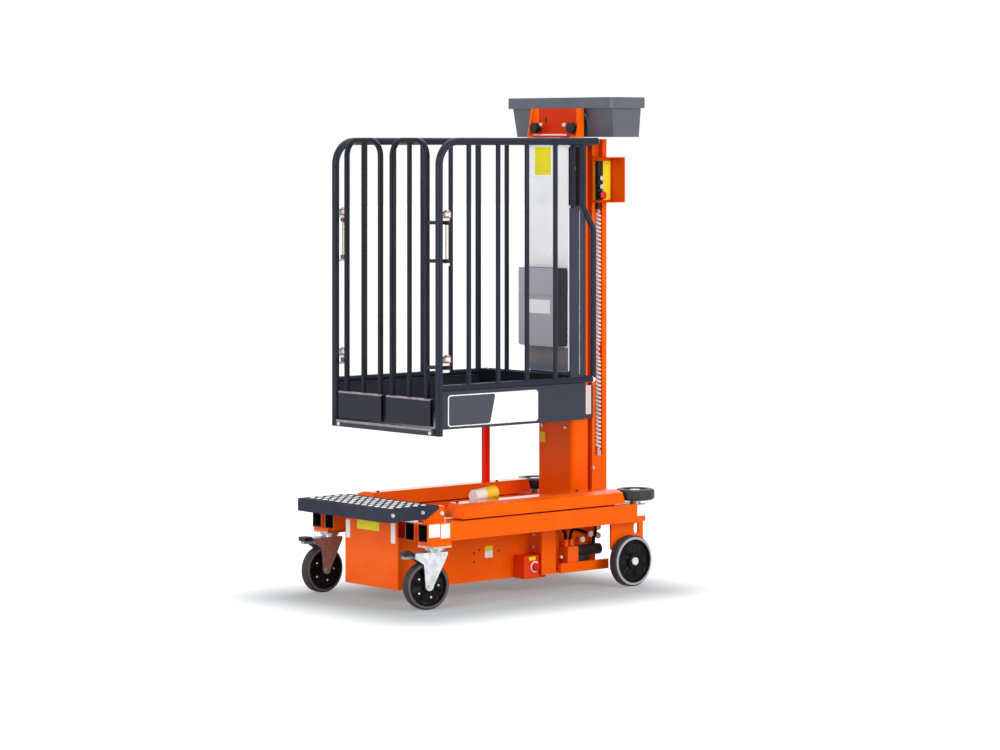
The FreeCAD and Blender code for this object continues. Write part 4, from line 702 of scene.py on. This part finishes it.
bolts("tray_bolt", 0.008, to_gate, [(0.433, 0.100, 1.827), (0.433, -0.042, 1.826)], "platform")

# %% [markdown]
# ## Blank plates
# The machine carries plates for notices, and here they are blank. Each is a thin plate with round
# corners and a soft edge, laid on the face that carries it. The dark part of the toe board's plate
# has a slanting end: the points of that end move along x with their height above the middle.

# %% Lay the plates
white, yellow = (plate_white, "white_panel"), (plate_yellow, "yellow_plastic")


def blank(name, width, height, toward, at, coat, body="base", corner=0.003):
    """One blank plate, 0.8 mm thick, on the face at this point. The coat is a finish and a slot name, and the
    slot name is not used.
    """
    material, slot = coat
    grid = placed(plate(width, height, corner, 0.0008, 0.0004), toward, at)
    skin(name, grid, material, body, sharp=60.0)


blank("plate_front", 0.135, 0.034, to_gate, (-0.524, 0.0185, 0.288), yellow)
blank("plate_front_far", 0.025, 0.070, to_gate, (-0.524, 0.1425, 0.265), white)
blank("plate_front_near", 0.026, 0.077, to_gate, (-0.524, -0.134, 0.2705), white)
blank("plate_side_top", 0.040, 0.018, to_near, (-0.070, -0.163, 0.180), yellow)
blank("plate_side_low", 0.040, 0.026, to_near, (-0.070, -0.163, 0.157), white)
blank("plate_beam_one", 0.053, 0.049, to_near, (-0.5015, -0.353, 0.2975), white)
blank("plate_beam_two", 0.044, 0.054, to_near, (-0.448, -0.353, 0.293), white)
blank("plate_beam_rear", 0.042, 0.044, to_near, (0.563, -0.353, 0.298), white)
blank("plate_mast", 0.030, 0.042, to_gate, (0.417, 0.071, 0.568), yellow, "mast_section")
blank("plate_panel_upper", 0.097, 0.112, to_gate, (0.385, 0.0335, 1.682), yellow, "platform")
blank("plate_panel_lower", 0.148, 0.114, to_gate, (0.385, 0.007, 1.5635), white, "platform")
blank("plate_case", 0.125, 0.055, to_gate, (0.325, -0.0135, 1.1005), white, "platform")
blank("plate_toe_white", 0.454, 0.120, to_near, (-0.182, -0.321, 0.740), white, "platform", 0.012)
dark_x, dark_z, lean = -0.295, 0.740, 0.24
dark = placed(plate(0.218, 0.112, 0.010, 0.0008, 0.0004), to_near, (dark_x, -0.3217, dark_z))
dark[..., 0] += lean * (dark[..., 2] - dark_z) * (dark[..., 0] > dark_x)
skin("plate_toe_dark", dark, plate_dark, "platform", sharp=60.0)
blank("bracket_edge", 0.200, 0.006, to_gate, (0.433, 0.045, 1.787), white, "platform", 0.002)
# A black slot on the bracket's face: painted shade where the slot opens.
blank("bracket_slot", 0.009, 0.022, to_gate, (0.4328, 0.069, 1.847), (black_paint, "black_paint"), "platform",
      0.004)
# Painted shade: a dark sheet over the white panel below the case.
blank("panel_shade_sheet", 0.236, 0.096, to_gate, (0.385, 0.0, 0.889), (panel_shade_finish, "grey_plastic"), "platform")

# %% [markdown]
# ## The cage's barred sides
# Each side of the cage is bent and welded from round tube: one tube makes the front post and the top
# rail, and bars stand between it and the toe rail. The two sides differ at the rear. The control
# side has a flat plate and a post that steps back below it, and the far side has a plain straight
# post. A bent tube's middle line is straight runs joined by arcs, and a ring is carried along it.

# %% Bend the tubes
cage_x, sides_y, sill_z, toe_z, middle_z, rail_z = -0.449, (-0.317, 0.317), 0.647, 0.827, 1.3, 1.7605
rear_x, stepped_x, rail_end_x, plate_top = 0.285, 0.338, 0.359, 1.500
hoop_radius, toe_radius, bar_radius, post_radius, bar_pitch = 0.0145, 0.0125, 0.0095, 0.012, 0.147


def rounded_path(points, bend, steps=14):
    """Straight runs joined by arcs. With h half the angle at a corner, an arc's centre lies bend / sin h
    along the angle's halving line, and it starts and ends bend / tan h from the corner."""
    points = np.asarray(points, dtype=float)
    runs = [points[:1]]
    share = np.linspace(0.0, 1.0, steps)[:, None]
    for before, corner, after in zip(points, points[1:], points[2:]):
        back, ahead = unit(before - corner), unit(after - corner)
        half = math.acos(back @ ahead) / 2
        middle = corner + unit(back + ahead) * bend / math.sin(half)
        first, last = (corner + way * bend / math.tan(half) - middle for way in (back, ahead))
        turn = math.pi - 2 * half
        swing = np.sin((1 - share) * turn) * first + np.sin(share * turn) * last
        runs.append(middle + swing / math.sin(turn))
    return np.concatenate([*runs, points[-1:]])


def upright_tube(x, y, radius):
    """A straight tube from the toe rail to the top rail."""
    return pipe([(x, y, z) for z in (toe_z, middle_z, rail_z)], radius, 20)


def weld_sides():
    """The hoops, toe rails, bars, rear posts and the near rear plate, in the solid's place."""
    near_y, far_y = sides_y
    hoops = [pipe(rounded_path([(cage_x, y, sill_z), (cage_x, y, rail_z), (rail_end_x, y, rail_z)], 0.090),
                  hoop_radius, 24) for y in sides_y]
    toes = [pipe([(x, y, toe_z) for x in (cage_x, 0.0, stepped_x)], toe_radius, 20) for y in sides_y]
    bars = [upright_tube(cage_x + bar_pitch * step, y, bar_radius) for y in sides_y for step in (1, 2, 3, 4)]
    stepped = rounded_path([(rear_x, near_y, rail_z), (rear_x, near_y, plate_top),
                            (stepped_x, near_y, plate_top - 0.080), (stepped_x, near_y, toe_z)], 0.045)
    flat = placed(plate(0.070, plate_top - toe_z, 0.001, 0.008, 0.0005), to_near,
                  (0.250, -0.313, (plate_top + toe_z) / 2))
    sets = {"side_hoops": np.stack(hoops), "side_toe_rails": np.stack(toes), "side_bars": np.stack(bars),
            "rear_post_near": pipe(stepped, post_radius, 20),
            "rear_post_far": upright_tube(rear_x, far_y, post_radius), "rear_plate_near": flat}
    for name, sheets in sets.items():
        shade = anthracite if name == "rear_plate_near" else tube_coat_painted_shade
        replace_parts(skin(name, sheets, shade, "platform"), "side_frames")


weld_sides()
# A thin pale strip on the near rear plate: a painted highlight along the edge of the rear post.
blank("bead_painted_highlight", 0.005, 0.640, to_near, (0.262, -0.321, 1.170), (wear_and_highlight_edge, "grey_paint"), "platform",
      0.002)

# %% [markdown]
# ## Gate springs
# A coil spring on each hinge pin swings its gate shut. It stands above the hinge lug under a nut.
# The spring is a round wire carried along a helix, between two red cups.

# %% Wind the gate springs
hinge_tops = [(-0.411, y, z) for y in sides_y for z in (1.471, 0.923)]


def wind_springs():
    """Springs, cups, pins and nuts on the hinge lugs. Each kind is one piece with a copy for every hinge."""
    wire = pipe(spiral(0.0122, 0.0045, 0.0230, 3.5), 0.0034, 8)
    cup = spun([(0.0, 0.0), (0.0168, 0.0), (0.0172, 0.0012), (0.0150, 0.0034), (0.0, 0.0034)], 24)
    cups = np.concatenate([copies(cup + [0.0, 0.0, lift], upward, hinge_tops) for lift in (0.0, 0.0212)])
    pin = spun([(0.0, 0.0), (0.006, 0.0), (0.006, 0.030), (0.0052, 0.0312), (0.0, 0.0312)], 20)
    nut = six_sided([(0.0, 0.0242), (0.0090, 0.0242), (0.0096, 0.0250), (0.0096, 0.0286), (0.0090, 0.0294),
                     (0.0, 0.0294)])
    skin("gate_springs", copies(wire, upward, hinge_tops), spring_steel, "platform")
    skin("gate_spring_cups", cups, spring_cup, "platform", sharp=30.0)
    skin("gate_spring_pins", copies(pin, upward, hinge_tops), zinc, "platform")
    skin("gate_spring_nuts", copies(nut, upward, hinge_tops), zinc, "platform", sharp=30.0)


wind_springs()

# %% [markdown]
# ## The gates' toe sheets
# Each gate leaf has a sheet low on its outer side that stops a dropped tool. Its top edge is folded
# back over the bars, and the fold has worn bright. The sheet is a section that is drawn once and
# carried along y: front face, fold and the short return. A plain sheet closes the cage's rear in the
# same way, and a round edge runs along the sill, pale with a painted highlight.

# %% Fold the toe sheets
def carried(section, start, end):
    """An (x, z) section carried along y from start to end, with both ends shrunk to a point."""
    grid = np.empty((4, len(section), 3))
    grid[..., 0], grid[..., 2] = np.array(section).T
    grid[..., 1] = np.array([start, start, end, end])[:, None]
    grid[[0, -1]] = grid[[0, -1]].mean(axis=1, keepdims=True)
    return grid


sheet_section = [(-0.4605, 0.683), (-0.4628, 0.683), (-0.4628, 0.7800), (-0.4605, 0.7800)]
fold_section = [(-0.4640, 0.7795), (-0.4634, 0.7845), (-0.4600, 0.7860), (-0.4520, 0.7860), (-0.4520, 0.7835),
                (-0.4605, 0.7835), (-0.4605, 0.7795)]
rear_section = [(0.2885, 0.675), (0.2910, 0.675), (0.2910, 0.838), (0.2885, 0.838)]
for side, label in ((-1, "near"), (1, "far")):
    leaf = "gate_" + label + "_leaf"
    for kind, section, coat in (("sheet", sheet_section, sheet_coat_painted_shade), ("fold", fold_section, wear_and_highlight_edge)):
        folded = carried(section, side * 0.016, side * 0.281)
        skin("toe_" + kind + "_" + label, folded, coat, leaf, sharp=30.0)
rear_sheet = carried(rear_section, -0.3165, 0.3165)
skin("rear_toe_sheet", rear_sheet, gate_coat_painted_shade, "platform", sharp=30.0)
# The sill edge's pale finish is a painted highlight.
sill = pipe([(-0.4612, y, 0.6690) for y in (-0.290, -0.1, 0.1, 0.290)], 0.0058, 16)
skin("sill_edge", sill, wear_and_highlight_edge, "platform")
bolts("sill_bolt", 0.007, to_gate, [(-0.462, y, 0.657) for y in (-0.280, 0.280)], "platform")

# %% [markdown]
# ## Wheel faces
# The wheels' moulded centres have pockets between spokes. A wheel face is a disc whose height is a
# wave in the angle: it is full on a spoke and falls into a pocket between two, and it fades out
# towards the boss and the rim.

# %% Mould the wheel faces
def pocket_face(inner, outer, spokes, low, high):
    """A ring from inner to outer radius. Its height runs from low to high with a softened square wave
    in the angle, times a smooth step at each edge of the ring."""
    share = np.linspace(0.0, 1.0, 20)[:, None]
    angle = np.linspace(0.0, 2 * math.pi, spokes * 16, endpoint=False)[None, :]
    radius = inner + (outer - inner) * share
    wave = 0.5 + 0.5 * np.tanh(3.5 * (np.cos(spokes * angle) + 0.35))
    edge = np.clip(share / 0.2, 0, 1) * np.clip((1 - share) / 0.16, 0, 1)
    fade = edge * edge * (3 - 2 * edge)
    height = high - (high - low) * (1 - wave) * fade
    return np.stack([radius * np.cos(angle), radius * np.sin(angle), height], axis=-1)


def wheel_face(name, centre, toward, inner, outer, spokes, body, metal, low=0.0012, high=0.0050):
    """A pocketed face on the wheel's web, with small bolts of this metal on the spokes."""
    face = placed(pocket_face(inner, outer, spokes, low, high), toward, centre)
    skin(name, face, black_plastic, body)
    turn = 2 * math.pi * np.arange(spokes) / spokes
    middle = (inner + outer) / 2
    spots = np.stack([middle * np.cos(turn), middle * np.sin(turn), np.full(spokes, high - 0.0002)], axis=-1)
    head = six_sided([(0.0, 0.0), (0.0036, 0.0), (0.0036, 0.0024), (0.0030, 0.0030), (0.0, 0.0030)])
    heads = placed(head + spots[:, None, None], toward, centre)
    skin(name + "_bolts", heads, metal, body, sharp=30.0)


web_half = 0.0091
face_rows = {"castor": (0.0215, 0.0690, 5, bright_zinc), "rear": (0.0295, 0.0780, 6, black_paint)}
for name, (centre, outward) in wheels.items():
    kind, side = name.split("_")
    *sizes, metal = face_rows[kind]
    for tail, toward in (("_out", np.array(outward)), ("_in", -np.array(outward))):
        wheel_face(kind + "_face_" + side + tail, centre + web_half * toward, toward, *sizes,
                   kind + "_wheel_" + side, metal)

# %% [markdown]
# ## Controls
# The lower controls are a yellow plate with a black strip: pale push buttons and a red stop button.
# The solids have their stems, and domed caps go over them. The upper box shows a small green lens.

# %% Cap the buttons
def dome(radius, height, skirt):
    """A cap: a straight skirt and a quarter of an ellipse above it, turned about z."""
    turn = np.linspace(0.0, math.pi / 2, 9)
    curve = np.stack([radius * np.cos(turn), skirt + (height - skirt) * np.sin(turn)], axis=-1)
    return spun(np.concatenate([[[0.0, 0.0], [radius, 0.0]], curve]), 32)


push = copies(dome(0.0098, 0.0040, 0.0020), to_near, [(0.545, -0.1415, z) for z in (1.579, 1.613)])
stop = placed(dome(0.0158, 0.0085, 0.0050), to_near, (0.545, -0.1485, 1.545))
lens = placed(dome(0.0066, 0.0036, 0.0010), to_gate, (0.3795, -0.164, 1.653))
skin("push_buttons", push, pale_button, "base")
skin("stop_button", stop, red_plastic, "base")
skin("green_lens", lens, green_lens, "platform")

# %% [markdown]
# ## Fittings on the power pack and the switch
# Rubber hoses run from the manifold's fittings up to the mast's foot. A hose is a round pipe along a
# smooth path: a cubic curve that leaves one fitting straight and arrives at the other straight. The
# hoses and their bright unions are fixed lines, so they ride on the base.

# %% Run the hoses
def bend(start, leave, end, arrive, steps=24):
    """A cubic curve from start to end. It sets off along leave and comes in along arrive. With s = 1 - t:
    s^3 start + 3 t s^2 (start + leave) + 3 t^2 s (end - arrive) + t^3 end."""
    t = np.linspace(0.0, 1.0, steps)[:, None]
    s = 1 - t
    start, leave, end, arrive = np.array([start, leave, end, arrive])
    return s**3 * start + 3 * t * s**2 * (start + leave) + 3 * t**2 * s * (end - arrive) + t**3 * end


hose_radius = 0.0065
hoses = [bend((0.294, -0.205, 0.184), (0.0, 0.0, 0.05), (0.262, -0.196, 0.252), (0.0, 0.03, 0.03)),
         bend((0.318, -0.205, 0.184), (0.0, 0.0, 0.07), (0.420, -0.196, 0.206), (0.05, 0.0, -0.01)),
         bend((0.440, -0.205, 0.160), (0.0, 0.0, 0.04), (0.455, -0.196, 0.252), (-0.02, 0.0, 0.05))]
lines = np.stack([pipe(path, hose_radius, 12) for path in hoses])
skin("hoses", lines, black_plastic, "base")
union = six_sided([(0.0, 0.0), (0.0105, 0.0), (0.0112, 0.0008), (0.0112, 0.011), (0.0105, 0.0118),
                   (0.0, 0.0118)])
unions = copies(union, to_near, [(0.383, -0.196, 0.183), (0.469, -0.196, 0.192), (0.470, -0.196, 0.226),
                                 (0.420, -0.205, 0.203)])
skin("unions", unions, bright_zinc, "base", sharp=30.0)
bolts("pump_bolt", 0.006, to_near, [(0.184, -0.229, 0.226), (0.184, -0.229, 0.170), (0.250, -0.227, 0.126)])
blank("housing_flange", 0.062, 0.118, to_near, (0.177, -0.1631, 0.195), (orange, "orange_paint"),
      corner=0.001)
bolts("housing_bolt", 0.006, to_near, [(0.160, -0.1638, z) for z in (0.216, 0.168)])

# %% Drill the housing and mark the switch
# Each vent hole is a shallow dimple painted black: painted shade for the hole's depth.
hole = spun([(0.0, 0.0002), (0.0040, 0.0002), (0.0044, 0.0), (0.0, -0.0008)], 16)
vents = copies(hole, to_near, [(-0.146, -0.1632, 0.168), (-0.146, -0.1632, 0.133), (-0.120, -0.1632, 0.177),
                               (-0.020, -0.1632, 0.168)])
skin("vent_holes", vents, black_paint, "base")
blank("plate_switch", 0.034, 0.014, to_near, (0.100, -0.225, 0.132), yellow, corner=0.002)
dial = spun([(0.0162, 0.0), (0.0222, 0.0), (0.0222, 0.0012), (0.0216, 0.0018), (0.0168, 0.0018),
             (0.0162, 0.0012), (0.0162, 0.0)], 40)
skin("switch_dial", placed(dial, to_near, (0.114, -0.225, 0.099)), plate_white, "base")

# %% [markdown]
# ## Tube ends and the tray's strap
# The two rails end behind the rear post in pale plastic plugs with a dark hole. A turned ring makes
# the plug. The tray's bracket has a bent grey strap on its near side, a flat band along a curve.

# %% Plug the rails and bend the strap
def plug(radius):
    """A ring round a shallow hollow: its profile steps in from the tube's radius and back down."""
    return spun([(0.0, 0.0004), (0.5 * radius, 0.0004), (0.55 * radius, 0.0030), (0.9 * radius, 0.0036),
                 (1.06 * radius, 0.0020), (1.06 * radius, -0.0100), (0.0, -0.0100)], 28)


def band(path, side, width, thick):
    """A flat band along a path: a rectangle of width along side and of thickness across it at each point."""
    flat = np.cross(unit(np.gradient(path, axis=0)), side)
    one, other = np.array([[1, -1, -1, 1], [1, 1, -1, -1]])[..., None] / 2
    return sleeve(path, path[:, None] + one * width * np.array(side) + other * thick * flat[:, None])


for level, end_x in ((rail_z, rail_end_x), (toe_z, stepped_x)):
    for y, label in zip(sides_y, ("near", "far")):
        end = placed(plug(toe_radius), to_rear, (end_x, y, level))
        skin(f"rail_plug_{label}_{int(level * 1000)}", end, bright_zinc, "platform")
strap = bend((0.438, -0.1535, 1.868), (0.020, 0.0, -0.004), (0.466, -0.1535, 1.782), (0.0, 0.0, -0.060))
strap_band = band(strap, (0.0, 1.0, 0.0), 0.006, 0.009)
skin("tray_strap", strap_band, tray_plastic, "platform", sharp=30.0)
